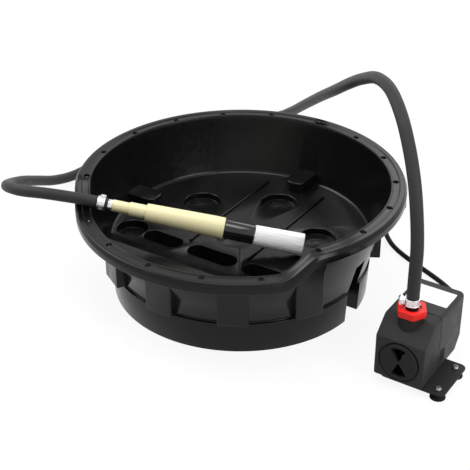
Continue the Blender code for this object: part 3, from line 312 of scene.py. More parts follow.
# Light and floor
LAMP_TARGET = Vector((-0.05, 0, 0.08))
LAMPS = (
    ("key", (-1.6, -0.3, 1.5), (1.2, 1.2), 25),
    ("side", (1.8, -0.4, 1.1), (1.0, 1.0), 20),
    ("top", (0.0, -0.3, 2.3), (1.4, 1.0), 24),
    ("back", (0.1, 1.9, 1.6), (2.2, 0.9), 14),
)
WHITE = (1, 1, 1, 1)
SKY_TOWARDS = (0, 0.8, 0.6)
SKY_LEVELS = {"From Min": -0.5, "To Min": 0.08, "To Max": 0.55}
FLOOR_SIZE = 6
FLOOR_DROP = 0.0002
FLOOR_COLOUR = (0.5, 0.5, 0.5, 1)
FLOOR_GLOW = 1.12
FLOOR_GLOW_SHARE = 0.80

# Looks: what wears it, its colour and how its coat is set
LOOKS = {
    "basin": ("Moulded plastic of the basin", (0.0045, 0.0045, 0.0050),
              dict(roughness=0.22, gloss=0.20, grain=1400, relief=0.025, spread=0.04)),
    "pump": ("Casing of the pump", (0.037, 0.037, 0.038), dict(roughness=0.46, gloss=0.08, grain=2600)),
    "dial": ("Intake dial and foot", (0.022, 0.022, 0.023), dict(roughness=0.44, gloss=0.08, grain=2600)),
    "hose": ("Rubber of the hose", (0.040, 0.040, 0.041),
             dict(roughness=0.46, gloss=0.08, grain=1800, relief=0.08)),
    "rubber": ("Cord, cups and gland", (0.012, 0.012, 0.012),
               dict(roughness=0.58, gloss=0.08, grain=1800, relief=0.15)),
    "nut": ("Union nut on the outlet", (0.80, 0.014, 0.010),
            dict(roughness=0.36, gloss=0.25, grain=1600, relief=0.08)),
    "handle": ("Handle of the brush", (0.82, 0.75, 0.45),
               dict(roughness=0.40, gloss=0.30, grain=800, relief=0.08, mottle=0.03)),
    "ferrule": ("Sleeve that holds the bristles", (0.008, 0.008, 0.009),
                dict(roughness=0.14, relief=0.04, spread=0.03)),
    "bristles": ("Strands of the brush", (0.98, 0.98, 0.98),
                 dict(roughness=0.50, grain=3000, relief=0.05, mottle=0.02)),
    "plate": ("Bare plate on top of the pump", (0.88, 0.88, 0.88),
              dict(roughness=0.45, grain=2200, relief=0.05, mottle=0.03)),
    "steel": ("Clamps and fitting", (0.72, 0.72, 0.73),
              dict(roughness=0.30, metallic=1.0, grain=1200, relief=0.03)),
    "screw": ("Screws of the pump's foot", (0.25, 0.25, 0.26),
              dict(roughness=0.45, metallic=1.0, grain=1200, relief=0.06)),
    "magnet": ("Magnet of the rotor", (0.08, 0.08, 0.085), dict(roughness=0.55, metallic=0.6)),
    "ceramic": ("Shaft of the rotor", (0.86, 0.85, 0.82), dict(roughness=0.30, mottle=0.04)),
}


class WasherSizes(bpy.types.PropertyGroup):
    """Sizes that a user would change."""

    rim_radius: FloatProperty(
        name="Rim radius", description="Outer radius of the basin's rim",
        default=(BASIN_HIGH.x - BASIN_LOW.x) / 2, min=0.1, unit="LENGTH")
    rim_height: FloatProperty(
        name="Rim height", description="Height of the flat of the rim above the ground",
        default=BASIN_HIGH.z - RIM_BEAD, min=0.05, unit="LENGTH")
    lip_step: FloatProperty(
        name="Lip step", description="How far the rim steps down to the low lip in front",
        default=0.028, min=0, unit="LENGTH")
    floor_height: FloatProperty(
        name="Floor height", description="Height of the basin's floor above the ground",
        default=0.073, min=0.03, unit="LENGTH")
    hose_diameter: FloatProperty(
        name="Hose diameter", description="Outer diameter of the hose",
        default=0.016, min=0.004, unit="LENGTH")
    bristle_count: IntProperty(
        name="Bristles", description="Number of strands in the brush", default=1500, min=100)


class WasherColours(bpy.types.PropertyGroup):
    """Colours of the pieces, one for each look."""

    __annotations__ = {
        name: FloatVectorProperty(name=name.capitalize(), description=worn_by, default=colour, size=3, min=0,
                                  max=1, subtype="COLOR")
        for name, (worn_by, colour, _) in LOOKS.items()}


def shader_node(tree, kind, values=None, **settings):
    """Add a shader node with its settings and the values of its inputs."""
    made = tree.nodes.new(f"ShaderNode{kind}")
    for label, value in settings.items():
        setattr(made, label, value)
    for label, value in (values or {}).items():
        made.inputs[label].default_value = value
    return made


def wire(tree, *links):
    """Join sockets; each link is (node, output, node, input)."""
    for source, output, target, label in links:
        tree.links.new(source.outputs[output], target.inputs[label])


def moulded_surface():
    """Fine grain for the relief, a broad tone for the colour, and drawn-out marks for the sheen."""
    if "moulded_surface" in bpy.data.node_groups:
        return bpy.data.node_groups["moulded_surface"]
    group = bpy.data.node_groups.new("moulded_surface", "ShaderNodeTree")
    for way, label, kind in (("INPUT", "Vector", "Vector"), ("INPUT", "Grain", "Float"),
                             ("OUTPUT", "Height", "Float"), ("OUTPUT", "Tone", "Float"),
                             ("OUTPUT", "Marks", "Float")):
        group.interface.new_socket(label, in_out=way, socket_type=f"NodeSocket{kind}")
    given = group.nodes.new("NodeGroupInput")
    out = group.nodes.new("NodeGroupOutput")
    fine = shader_node(group, "TexNoise", {"Detail": 3})
    broad = shader_node(group, "TexNoise", {"Scale": 22})
    stretch = shader_node(group, "VectorMath", {1: (9, 2, 4)}, operation="MULTIPLY")
    marks = shader_node(group, "TexNoise", {"Scale": 30, "Detail": 4})
    wire(group, (given, "Vector", fine, "Vector"), (given, "Grain", fine, "Scale"),
         (given, "Vector", broad, "Vector"), (given, "Vector", stretch, 0),
         (stretch, "Vector", marks, "Vector"), (fine, "Fac", out, "Height"), (broad, "Fac", out, "Tone"),
         (marks, "Fac", out, "Marks"))
    return group


def coat(name, colour, roughness, metallic=0.0, gloss=0.5, grain=900.0, relief=0.12, mottle=0.12,
         spread=0.06):
    """A finish: colour with a slight mottle, sheen with faint marks, and a grain in the relief."""
    made = bpy.data.materials.new(name)
    made.use_nodes = True
    tree = made.node_tree
    shader = tree.nodes["Principled BSDF"]
    shader.inputs["Metallic"].default_value = metallic
    shader.inputs["Specular IOR Level"].default_value = gloss
    where = shader_node(tree, "TexCoord")
    surface = shader_node(tree, "Group", {"Grain": grain}, node_tree=moulded_surface())
    darker = [part * (1 - mottle) for part in colour]
    lighter = [min(part * (1 + mottle), 1) for part in colour]
    tint = shader_node(tree, "Mix", {"A": (*darker, 1), "B": (*lighter, 1)}, data_type="RGBA")
    sheen = shader_node(tree, "MapRange", {"From Min": 0.3, "From Max": 0.7, "To Max": roughness + spread,
                                           "To Min": max(roughness - spread, 0.02)})
    bump = shader_node(tree, "Bump", {"Strength": relief, "Distance": 0.0002})
    wire(tree, (where, "Object", surface, "Vector"), (surface, "Tone", tint, "Factor"),
         (tint, "Result", shader, "Base Color"), (surface, "Marks", sheen, "Value"),
         (sheen, "Result", shader, "Roughness"), (surface, "Height", bump, "Height"),
         (bump, "Normal", shader, "Normal"))
    return made


def finish(name):
    """The named finish, in the colour its property holds."""
    label = f"{name}_finish"
    if label in bpy.data.materials:
        return bpy.data.materials[label]
    return coat(label, getattr(bpy.context.scene.washer_colours, name), **LOOKS[name][2])


def rounded(corners, closed=False, count=4):
    """Points of a line with round corners; each corner is (a, b) or (a, b, radius)."""
    points = []
    total = len(corners)
    for index, corner in enumerate(corners):
        here = Vector(corner[:2])
        radius = corner[2] if len(corner) > 2 else 0
        if radius == 0 or (not closed and index in (0, total - 1)):
            points.append(here)
            continue
        back = (Vector(corners[index - 1][:2]) - here).normalized()
        ahead = (Vector(corners[(index + 1) % total][:2]) - here).normalized()
        half = back.angle(ahead) / 2
        centre = here + (back + ahead).normalized() * (radius / math.sin(half))
        start = (here + back * (radius / math.tan(half)) - centre).normalized()
        end = (here + ahead * (radius / math.tan(half)) - centre).normalized()
        points += [centre + start.slerp(end, step / count) * radius for step in range(count + 1)]
    return points


def across(width):
    return -width / 2, width / 2


def rounded_box(x, y, radius):
    return rounded(((x[1], y[0], radius), (x[1], y[1], radius), (x[0], y[1], radius), (x[0], y[0], radius)),
                   True, 6)


def circle(radius, count, start=0.0):
    return [(radius * math.cos(start + math.tau * index / count),
             radius * math.sin(start + math.tau * index / count)) for index in range(count)]


def spun(profile, steps=48):
    """Spin a profile of (radius, height) points about Z; one that starts off the axis makes a ring."""
    bm = bmesh.new()
    verts = [bm.verts.new((point[0], 0, point[1])) for point in profile]
    edges = [bm.edges.new(pair) for pair in zip(verts, verts[1:])]
    if profile[0][0] > 0:
        edges.append(bm.edges.new((verts[-1], verts[0])))
    bmesh.ops.spin(bm, geom=verts + edges, axis=(0, 0, 1), cent=(0, 0, 0), steps=steps, angle=math.tau,
                   use_merge=True)
    bmesh.ops.remove_doubles(bm, verts=bm.verts, dist=1e-6)
    return bm


def cylinder(radius, low, high, steps=48):
    return spun(((0, high), (radius, high), (radius, low), (0, low)), steps)


def extruded(outline, axis, low, high):
    """Extrude an outline along X, Y or Z; it is given in the other two axes, in order."""
    bm = bmesh.new()
    index = "XYZ".index(axis)
    verts = []
    for point in outline:
        spot = list(point)
        spot.insert(index, low)
        verts.append(bm.verts.new(spot))
    grown = bmesh.ops.extrude_face_region(bm, geom=[bm.faces.new(verts)])
    step = Vector((0, 0, 0))
    step[index] = high - low
    bmesh.ops.translate(bm, vec=step, verts=[v for v in grown["geom"] if isinstance(v, bmesh.types.BMVert)])
    bmesh.ops.recalc_face_normals(bm, faces=bm.faces)
    return bm


def lofted(sections):
    """A closed skin over outlines that have the same number of points; each is (outline, height)."""
    bm = bmesh.new()
    loops = []
    for outline, height in sections:
        verts = [bm.verts.new((*point, height)) for point in outline]
        edges = [bm.edges.new((verts[index - 1], verts[index])) for index in range(len(verts))]
        loops.append((verts, edges))
    for (_, low), (_, high) in zip(loops, loops[1:]):
        bmesh.ops.bridge_loops(bm, edges=low + high)
    bm.faces.new(loops[0][0])
    bm.faces.new(loops[-1][0])
    bmesh.ops.recalc_face_normals(bm, faces=bm.faces)
    return bm


def stepped_box(x, y, corner, steps):
    """A box with round uprights whose outline moves in by each step's inset; a step is (inset, height)."""
    return lofted([(rounded_box((x[0] + inset, x[1] - inset), (y[0] + inset, y[1] - inset), corner - inset),
                    height) for inset, height in steps])


def block(x, y, z, soft=0.0, segments=2):
    bm = extruded(((x[0], y[0]), (x[1], y[0]), (x[1], y[1]), (x[0], y[1])), "Z", *z)
    if soft:
        soften(bm, bm.edges, soft, segments)
    return bm


def soften(bm, edges, width, segments=2):
    bmesh.ops.bevel(bm, geom=list(edges), offset=width, offset_type="OFFSET", segments=segments, profile=0.5,
                    affect="EDGES", material=-1, clamp_overlap=True)


def moved(bm, matrix):
    bmesh.ops.transform(bm, matrix=matrix, verts=bm.verts)
    return bm


def at(x, y, z=0.0):
    return Matrix.Translation((x, y, z))


def turned(angle, axis="Z"):
    return Matrix.Rotation(angle, 4, axis)


INSIDE = (
    ("rotor_magnet", "magnet", "magnet", "rotor"), ("impeller", "bristles", "nylon", "rotor"),
    ("rotor_shaft", "ceramic", "ceramic"), ("rear_bush", "rubber", "black_rubber"),
    ("front_bush", "rubber", "black_rubber"), ("chamber_seal", "rubber", "black_rubber"),
)
OUTLET_PLACE = at(PUMP_X, -OUTLET)
PUMP_AXIS = at(PUMP_X, 0, AXIS_Z) @ turned(math.pi / 2, "X")
BRUSH_AXIS = Matrix.Translation(BRUSH_TAIL) @ BRUSH_ALONG.to_track_quat("Z", "Y").to_matrix().to_4x4()


def mesh_of(bm, name):
    """A mesh with its faces turned outwards."""
    mesh = bpy.data.meshes.new(name)
    bmesh.ops.recalc_face_normals(bm, faces=bm.faces)
    bm.to_mesh(mesh)
    bm.free()
    return mesh


def scratch(bm, into):
    made = bpy.data.objects.new("scratch", mesh_of(bm, "scratch"))
    into.objects.link(made)
    return made


def carved(body, added=(), removed=(), shared=()):
    """Keep what a body shares with other shapes, join more to it, then cut others out of it."""
    scene = bpy.context.scene.collection
    base = scratch(body, scene)
    groups = []
    for operation, shapes in (("INTERSECT", shared), ("UNION", added), ("DIFFERENCE", removed)):
        if not shapes:
            continue
        group = bpy.data.collections.new("scratch")
        scene.children.link(group)
        for shape in shapes:
            scratch(shape, group)
        change = base.modifiers.new(operation, "BOOLEAN")
        change.operation = operation
        change.solver = "EXACT"
        change.operand_type = "COLLECTION"
        change.collection = group
        groups.append(group)
    shown = base.evaluated_get(bpy.context.evaluated_depsgraph_get())
    bm = bmesh.new()
    bm.from_mesh(shown.to_mesh())
    shown.to_mesh_clear()
    for group in groups:
        for tool in list(group.objects):
            bpy.data.meshes.remove(tool.data)
        bpy.data.collections.remove(group)
    bpy.data.meshes.remove(base.data)
    return bm


def piece(name, bm, look, slot, nodes=(), body="tank", angle=35.0, in_frame=False):
    """Finish a shape as a piece that rides on a body, and hide the nodes it replaces."""
    if not in_frame:
        moved(bm, Matrix.Translation(TANK))
    bmesh.ops.remove_doubles(bm, verts=bm.verts, dist=1e-6)
    mesh = mesh_of(bm, name)
    mesh.shade_smooth()
    mesh.set_sharp_from_angle(angle=math.radians(angle))
    mesh.materials.append(finish(look))
    made = bpy.data.objects.new(name, mesh)
    bpy.context.scene.collection.objects.link(made)
    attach(made, body)
    if nodes:
        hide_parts(*nodes)
    return made


def refined(node, look, slot, body="tank"):
    """A merged copy of a node, with its flats joined."""
    bm = bmesh.new()
    bm.from_mesh(bpy.data.objects[node].data)
    bmesh.ops.remove_doubles(bm, verts=bm.verts, dist=1e-6)
    bmesh.ops.recalc_face_normals(bm, faces=bm.faces)
    bmesh.ops.dissolve_limit(bm, angle_limit=math.radians(1), verts=bm.verts, edges=bm.edges)
    return piece(f"{node}_shown", bm, look, slot, (node,), body, in_frame=True)


def smooth_route(knots, step):
    """Points at even spacing on a smooth curve through the knots."""
    parts = 20
    knots = [Vector(knot) for knot in knots]
    ends = [knots[0] * 2 - knots[1]] + knots + [knots[-1] * 2 - knots[-2]]
    fine = [knots[0]]
    for a, b, c, d in zip(ends, ends[1:], ends[2:], ends[3:]):
        for index in range(1, parts + 1):
            t = index / parts
            fine.append(0.5 * (2 * b + (c - a) * t + (2 * a - 5 * b + 4 * c - d) * t ** 2
                               + (3 * b - a - 3 * c + d) * t ** 3))
    length = sum((b - a).length for a, b in zip(fine, fine[1:]))
    count = round(length / step)
    route = [fine[0]]
    run = 0.0
    for a, b in zip(fine, fine[1:]):
        part = (b - a).length
        while len(route) < count and run + part >= length * len(route) / count:
            route.append(a.lerp(b, (length * len(route) / count - run) / part))
        run += part
    return route + [fine[-1]]


def tube(name, route, radius, look, nodes):
    """A round tube along a route, as a curve of one spline."""
    data = bpy.data.curves.new(name, "CURVE")
    data.dimensions = "3D"
    spline = data.splines.new("POLY")
    spline.points.add(len(route) - 1)
    for point, spot in zip(spline.points, route):
        point.co = (*(spot + TANK), 1)
    spline.use_smooth = True
    data.bevel_depth = radius
    data.bevel_resolution = 6
    data.use_fill_caps = True
    data.materials.append(finish(look))
    made = bpy.data.objects.new(name, data)
    bpy.context.scene.collection.objects.link(made)
    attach(made, "tank")
    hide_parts(*nodes)
    return made


def route_length(route):
    return sum((b - a).length for a, b in zip(route, route[1:]))


class WASHER_OT_basin(bpy.types.Operator):
    """Build the moulded basin with its stepped rim, lugs, wells and pockets"""

    bl_idname = "washer.basin"
    bl_label = "Build basin"

    def wall_r(self, height, step=0.0):
        """Radius of the leaning inner wall, which is steeper where the rim steps down."""
        knee = self.rim_z - step - LIP_DEPTH
        return FLOOR_R + (height - self.floor_z) * (RIM_INNER_R - FLOOR_R) / (knee - self.floor_z)

    def drop(self, angle):
        """How far the rim lies below its full height, by the angle from the front."""
        away = abs(math.remainder(angle - FRONT, math.tau))
        share = min(max((STEP_TO - away) / (STEP_TO - STEP_FROM), 0), 1)
        return self.step * share * share * (3 - 2 * share)

    def shell(self):
        """Floor, wall, rim and skirt as one spun section, drawn down in front to the low lip."""
        rim = self.rim_z
        knee = rim - LIP_DEPTH
        bead = self.rim_r - RIM_BEAD_INSET
        under = self.floor_z - WALL
        corners = [
            (0, self.floor_z), (FLOOR_R, self.floor_z, FLOOR_FILLET), (RIM_INNER_R, knee),
            *[(RIM_INNER_R + out, rim + up, *corner) for out, up, *corner in RIM_EDGE_ROWS],
            *[(bead + out, rim + up, *corner) for out, up, *corner in RIM_BEAD_ROWS],
            (self.rim_r, rim - 0.0040, 0.0020),
            (self.rim_r, knee, 0.0008), (self.rim_r - WALL, knee, 0.0008),
            (self.rim_r - WALL - 0.001, rim - RIM_PLATE, 0.0010),
            (RIM_INNER_R + WALL + 0.001, rim - RIM_PLATE, 0.0020), (RIM_INNER_R + WALL, knee),
            (self.wall_r(self.floor_z) + WALL, self.floor_z), (self.wall_r(LEDGE_Z) + WALL, LEDGE_Z, 0.0012),
            (SKIRT_TOP_R, LEDGE_Z - 0.001, 0.0008), (SKIRT_FOOT_R, 0, 0.0008),
            (SKIRT_FOOT_R - WALL, 0, 0.0008), (SKIRT_TOP_R - WALL, LEDGE_Z - WALL),
            (self.wall_r(LEDGE_Z), LEDGE_Z), (self.wall_r(under), under), (0, under)]
        bm = spun(rounded(corners), RIM_STEPS)
        for vert in bm.verts:
            share = min(max((vert.co.z - self.floor_z) / (knee - self.floor_z), 0), 1)
            vert.co.z -= share * self.drop(math.atan2(vert.co.y, vert.co.x))
        return bm

    def apron(self):
        """The raised apron behind the low lip and the hollow under it."""
        foot = self.floor_z - WALL
        run = math.hypot(APRON_FOOT_Y - APRON_EDGE_Y, APRON_Z - self.floor_z)
        lean = WALL * (run - (APRON_Z - self.floor_z)) / (APRON_FOOT_Y - APRON_EDGE_Y)
        solid = rounded(((APRON_FOOT_Y, self.floor_z), (APRON_EDGE_Y, APRON_Z, 0.004), (-self.rim_r, APRON_Z),
                         (-self.rim_r, foot), (APRON_FOOT_Y, foot)), True)
        hollow = ((APRON_FOOT_Y - lean, foot), (APRON_EDGE_Y - lean, APRON_Z - WALL),
                  (-self.rim_r, APRON_Z - WALL), (-self.rim_r, LEDGE_Z), (APRON_FOOT_Y - lean, LEDGE_Z))
        made = []
        for outline, clear in ((solid, WALL / 2), (hollow, 0)):
            high = APRON_Z + WALL
            low = LEDGE_Z - WALL
            bound = spun(((0, high), (self.wall_r(high, self.step) + clear, high),
                          (FLOOR_R + clear, self.floor_z), (self.wall_r(low) + clear, low), (0, low)),
                         RIM_STEPS)
            made.append(carved(extruded(outline, "X", *across(self.rim_r * 2)), shared=[bound]))
        return made

    def lugs(self):
        slope = (RIM_INNER_R - FLOOR_R) / (self.rim_z - LIP_DEPTH - self.floor_z)
        start = self.wall_r(LUG_Z) + WALL * 0.5
        outline = ((start, LUG_Z), (LUG_R, LUG_Z), (LUG_R, LUG_Z + (LUG_R - start) / slope))
        for index in range(LUG_PLACES):
            if index in CHANNELS:
                continue
            bm = extruded(outline, "Y", *across(LUG_WIDTH))
            soften(bm, [edge for edge in bm.edges if min(v.co.x for v in edge.verts) > LUG_R - 1e-5
                        or max(v.co.z for v in edge.verts) < LUG_Z + 1e-5], 0.0012, 3)
            yield moved(bm, turned(index * LUG_PITCH))

    def channel_wall(self, width, sections):
        """A wall round a channel, up to the basin's own wall; each section is (inset, outer end, height)."""
        loops = []
        for inset, end, height in sections:
            reach = width / 2 + WALL - inset
            start = CHANNEL_INNER_R - WALL + inset
            corner = CHANNEL_CORNER + WALL - inset
            outline = ((end, -reach), (end, reach), (start, reach, corner), (start, -reach, corner))
            loops.append((rounded(outline, True), height))
        return lofted(loops)

    def channels(self):
        """Channels up the outside of the basin: their walls, and the slots and wider notches in them."""
        ledge = self.wall_r(LEDGE_Z) + WALL / 2
        boss = [(0, LEDGE_Z)] + self.eased(CHANNEL_TOP + WALL, 0.002)
        foot = ((0, SKIRT_FOOT_R - WALL / 2, 0), (0, SKIRT_TOP_R - WALL / 2, LEDGE_Z - 0.001),
                (0, ledge, LEDGE_Z), (0, ledge, LEDGE_Z + WALL))
        added = []
        removed = []
        for index in CHANNELS:
            turn = turned(index * LUG_PITCH)
            upper = self.channel_wall(CHANNEL_WIDTH, [(inset, self.wall_r(height) + WALL / 2, height)
                                                      for inset, height in boss])
            added += [moved(upper, turn), moved(self.channel_wall(NOTCH_WIDTH, foot), turn)]
            for width, top in ((CHANNEL_WIDTH, CHANNEL_TOP), (NOTCH_WIDTH, LEDGE_Z)):
                slot = rounded_box((CHANNEL_INNER_R, self.rim_r + CHANNEL_CORNER), across(width),
                                   CHANNEL_CORNER)
                removed.append(moved(extruded(slot, "Z", -WALL, top), turn))
        return added, removed

    def eased(self, top, radius):
        """Insets and heights that round the top edge of a boss."""
        count = 4
        return [(radius * (1 - math.cos(math.pi / 2 * step / count)),
                 top - radius + radius * math.sin(math.pi / 2 * step / count)) for step in range(count + 1)]

    def well(self, spot, steps):
        """The wall of a round well and its stepped hollow, with a round mouth."""
        radius = steps[0][0]
        below = self.floor_z - steps[-1][1]
        wall = cylinder(radius + WALL, below - WALL, self.floor_z - WALL / 2)
        mouth = radius + MOUTH
        corners = [(0, self.floor_z + WALL), (mouth, self.floor_z + WALL), (mouth, self.floor_z)]
        corners += [(radius + MOUTH * (1 - math.sin(turn)), self.floor_z - MOUTH * (1 - math.cos(turn)))
                    for turn in (0.5, 1.0)]
        for index, (reach, depth) in enumerate(steps):
            if index:
                corners.append((reach, self.floor_z - steps[index - 1][1], 0.0005))
            corners.append((reach, self.floor_z - depth, 0.0005))
        corners.append((0, below))
        return moved(wall, at(*spot)), moved(spun(rounded(corners, count=3), 64), at(*spot))

    def pockets(self):
        added = []
        removed = []
        corner = POCKET_WIDTH / 2 - POCKET_FLAT
        below = self.floor_z - POCKET_DEPTH
        for middle, length in POCKETS:
            place = at(middle, POCKET_Y)
            outside = rounded_box(across(length + WALL * 2), across(POCKET_WIDTH + WALL * 2), corner + WALL)
            added.append(moved(extruded(outside, "Z", below - WALL, self.floor_z - WALL / 2), place))
            hollow = stepped_box(across(length), across(POCKET_WIDTH), corner, (
                (0.002, below), (0.0006, below + 0.0006), (0, below + 0.002), (0, self.floor_z - MOUTH),
                (-MOUTH * 0.3, self.floor_z - MOUTH * 0.3), (-MOUTH, self.floor_z),
                (-MOUTH, self.floor_z + WALL)))
            drain = cylinder(DRAIN_R, below - WALL * 2, self.floor_z, 24)
            removed += [moved(hollow, place), moved(drain, place)]
        return added, removed

    def ribs(self):
        for side in (-1, 1):
            half = RIB_WIDTH / 2
            top = self.floor_z + RIB_HEIGHT
            low = self.floor_z - WALL / 2
            middle = side * RIB_X
            outline = rounded(((middle - half, low), (middle + half, low), (middle + half * 0.8, top, 0.001),
                               (middle - half * 0.8, top, 0.001)), True)
            yield extruded(outline, "Y", *RIB_REACH)

    def rim_holes(self):
        for index in range(HOLES):
            angle = FRONT + math.tau * index / HOLES
            top = self.rim_z - self.drop(angle)
            bm = spun(((0, top + LIP_DEPTH), (HOLE_R + 0.0006, top + LIP_DEPTH), (HOLE_R + 0.0006, top),
                       (HOLE_R, top - 0.0006), (HOLE_R, top - LIP_DEPTH), (0, top - LIP_DEPTH)), 24)
            yield moved(bm, at(HOLE_CIRCLE_R * math.cos(angle), HOLE_CIRCLE_R * math.sin(angle)))

    def execute(self, context):
        sizes = context.scene.washer_sizes
        self.rim_r = sizes.rim_radius
        self.rim_z = sizes.rim_height
        self.step = sizes.lip_step
        self.floor_z = sizes.floor_height
        apron, hollow = self.apron()
        added = [apron, *self.lugs(), *self.ribs()]
        removed = [hollow, *self.rim_holes()]
        wells = [self.well(spot, WELL_STEPS) for spot in WELL_PLACES]
        wells += [self.well(spot, CUP_STEPS) for spot in CUP_PLACES]
        added += [wall for wall, _ in wells]
        removed += [space for _, space in wells]
        for more, less in (self.channels(), self.pockets()):
            added += more
            removed += less
        bm = carved(self.shell(), added, removed)
        piece("basin_moulding", bm, "basin", "black_plastic", ("basin",), angle=30)
        return {"FINISHED"}


class WASHER_OT_pump(bpy.types.Operator):
    """Build the pump's casing, dial, foot and bare plate"""

    bl_idname = "washer.pump"
    bl_label = "Build pump"

    def outline(self, inset=0.0):
        """The casing's section, seen along the pump's axis."""
        half = PUMP_WIDTH / 2 - inset
        low = PUMP_Z - AXIS_Z + inset
        high = PUMP_TOP - AXIS_Z - inset
        return rounded(((half, low, PUMP_KEEL), (half, high, PUMP_CROWN), (-half, high, PUMP_CROWN),
                        (-half, low, PUMP_KEEL)), True, 6)

    def casing(self, sections, start, end, seam):
        """A length of the casing, cut off on the slant from start to end, with fine edges off the seam."""
        bm = moved(lofted(sections), PUMP_AXIS)
        slant = Vector((0, end[0] - start[0], end[1] - start[1]))
        cut = bmesh.ops.bisect_plane(
            bm, geom=bm.verts[:] + bm.edges[:] + bm.faces[:], dist=1e-6, plane_co=(PUMP_X, *start),
            plane_no=slant.cross(Vector((1, 0, 0))), clear_outer=True)
        bmesh.ops.edgeloop_fill(
            bm, edges=[item for item in cut["geom_cut"] if isinstance(item, bmesh.types.BMEdge)])
        soften(bm, [edge for edge in bm.edges if edge.calc_face_angle() > 0.35
                    and all(abs(v.co.y - seam) > SEAM_WIDTH * 2 for v in edge.verts)], PUMP_EDGE, 3)
        return bm

    def housing(self):
        """The motor's casing with the rotor's well and the seal's groove."""
        bore, foot = ROTOR_WELL
        face = PUMP_SEAM + GAP
        well = moved(cylinder(bore, foot, face), PUMP_AXIS)
        inner, outer = SEAL_GROOVE_R
        deep = PUMP_SEAM - SEAL_GROOVE_DEPTH
        groove = moved(spun(((inner, face), (outer, face), (outer, deep), (inner, deep))), PUMP_AXIS)
        body = self.casing(((self.outline(), 0), (self.outline(), PUMP_SEAM)), (-PUMP_TAIL, PUMP_Z),
                           (0, PUMP_TAIL_Z), -PUMP_SEAM)
        body = carved(body, removed=(well, groove))
        piece("motor_casing", body, "pump", "pump_plastic", ("motor_housing",))

    def cover(self):
        """The hollow front with its seam, the dial's seat and the collar's hole."""
        start = PUMP_SEAM + GAP
        step = start + SEAM_WIDTH
        wall = PUMP_WALL + SEAM_DEPTH
        inner = ((wall - start, PUMP_TOP - wall), (wall - start, PUMP_Z + wall),
                 (PUMP_WALL - PUMP_DEPTH, PUMP_Z + wall), (PUMP_WALL - PUMP_DEPTH, PUMP_FACE_TOP - PUMP_WALL),
                 (PUMP_WALL - PUMP_SHOULDER, PUMP_TOP - wall))
        half = PUMP_WIDTH / 2 - wall
        hollow = extruded(inner, "X", PUMP_X - half, PUMP_X + half)
        reach = DIAL_R + GAP * 2
        ledge = PUMP_DEPTH - DIAL_GROOVE_DEPTH
        dial = moved(spun(((0, PUMP_DEPTH + WALL), (reach + DIAL_GROOVE, PUMP_DEPTH + WALL),
                           (reach + DIAL_GROOVE, ledge), (reach, ledge), (reach, PUMP_DEPTH - PUMP_WALL * 2),
                           (0, PUMP_DEPTH - PUMP_WALL * 2)), 96), PUMP_AXIS)
        collar = cylinder(COLLAR_R + GAP, PUMP_FACE_TOP - WALL, COLLAR_TOP + WALL, 64)
        sections = ((self.outline(SEAM_DEPTH), start), (self.outline(SEAM_DEPTH), step),
                    (self.outline(), step), (self.outline(), PUMP_DEPTH))
        body = self.casing(sections, (-PUMP_SHOULDER, PUMP_TOP), (-PUMP_DEPTH, PUMP_FACE_TOP), -start)
        body = carved(body, removed=(hollow, dial, moved(collar, OUTLET_PLACE)))
        piece("front_casing", body, "pump", "pump_plastic", ("front_cover",))

    def dial(self):
        """The intake dial with its two pie windows."""
        face = PUMP_DEPTH + DIAL_PROUD
        back = face - DIAL_THICK
        seat = PUMP_DEPTH - PUMP_WALL - GAP
        corners = ((0, face), (DIAL_R, face, 0.0012), (DIAL_R, seat), (DIAL_R + 0.001, seat),
                   (DIAL_R + 0.001, back), (0, back))
        windows = []
        for middle in (WINDOW_AT, WINDOW_AT + math.pi):
            turns = [middle + WINDOW_SPREAD * (step / 12 - 0.5) for step in range(13)]
            edge = [(WINDOW_R, turn) for turn in turns] + [(WINDOW_ROOT, turns[-1]), (WINDOW_ROOT, turns[0])]
            outline = [(radius * math.cos(turn), radius * math.sin(turn)) for radius, turn in edge]
            windows.append(moved(extruded(outline, "Z", back - WALL, face + WALL), PUMP_AXIS))
        bm = carved(moved(spun(rounded(corners), 96), PUMP_AXIS), removed=windows)
        piece("dial_face", bm, "dial", "pump_plastic", ("intake_dial",), body="dial")

    def foot(self):
        """Foot plate with the cups' holes, and the two screws that show."""
        low, high = FOOT_Z
        edge = FOOT_EDGE
        bm = stepped_box(FOOT_X, FOOT_Y, FOOT_CORNER,
                         ((edge, low), (0, low + edge), (0, high - edge), (edge, high)))
        holes = []
        for spot in CUPS:
            radius = SCREW_BORE_R if spot in SCREWS else STEM_BORE_R
            holes.append(moved(cylinder(radius, low - WALL, high + WALL, 24), at(*spot)))
        piece("foot", carved(bm, removed=holes), "dial", "pump_plastic", ("foot_plate",))
        head = high + GAP
        long, thin = [across(side) for side in SCREW_CROSS]
        deep = [head + height for height in SCREW_CROSS_Z]
        for end, spot, angle in zip(("front", "rear"), SCREWS, SCREW_TURNS):
            bm = spun(rounded(((0, head + SCREW_HEIGHT), (SCREW_CROWN_R, head + SCREW_HEIGHT, 0.0008),
                               (SCREW_HEAD_R, head + 0.001, 0.0006), (SCREW_HEAD_R, head), (SCREW_R, head),
                               (SCREW_R, SCREW_TIP_Z), (0, SCREW_TIP_Z))), 32)
            turn = turned(angle)
            bm = carved(bm, removed=[moved(block(*cut, deep), turn) for cut in ((long, thin), (thin, long))])
            piece(f"screw_{end}", moved(bm, at(*spot)), "screw", "steel", (f"foot_screw_{end}",))

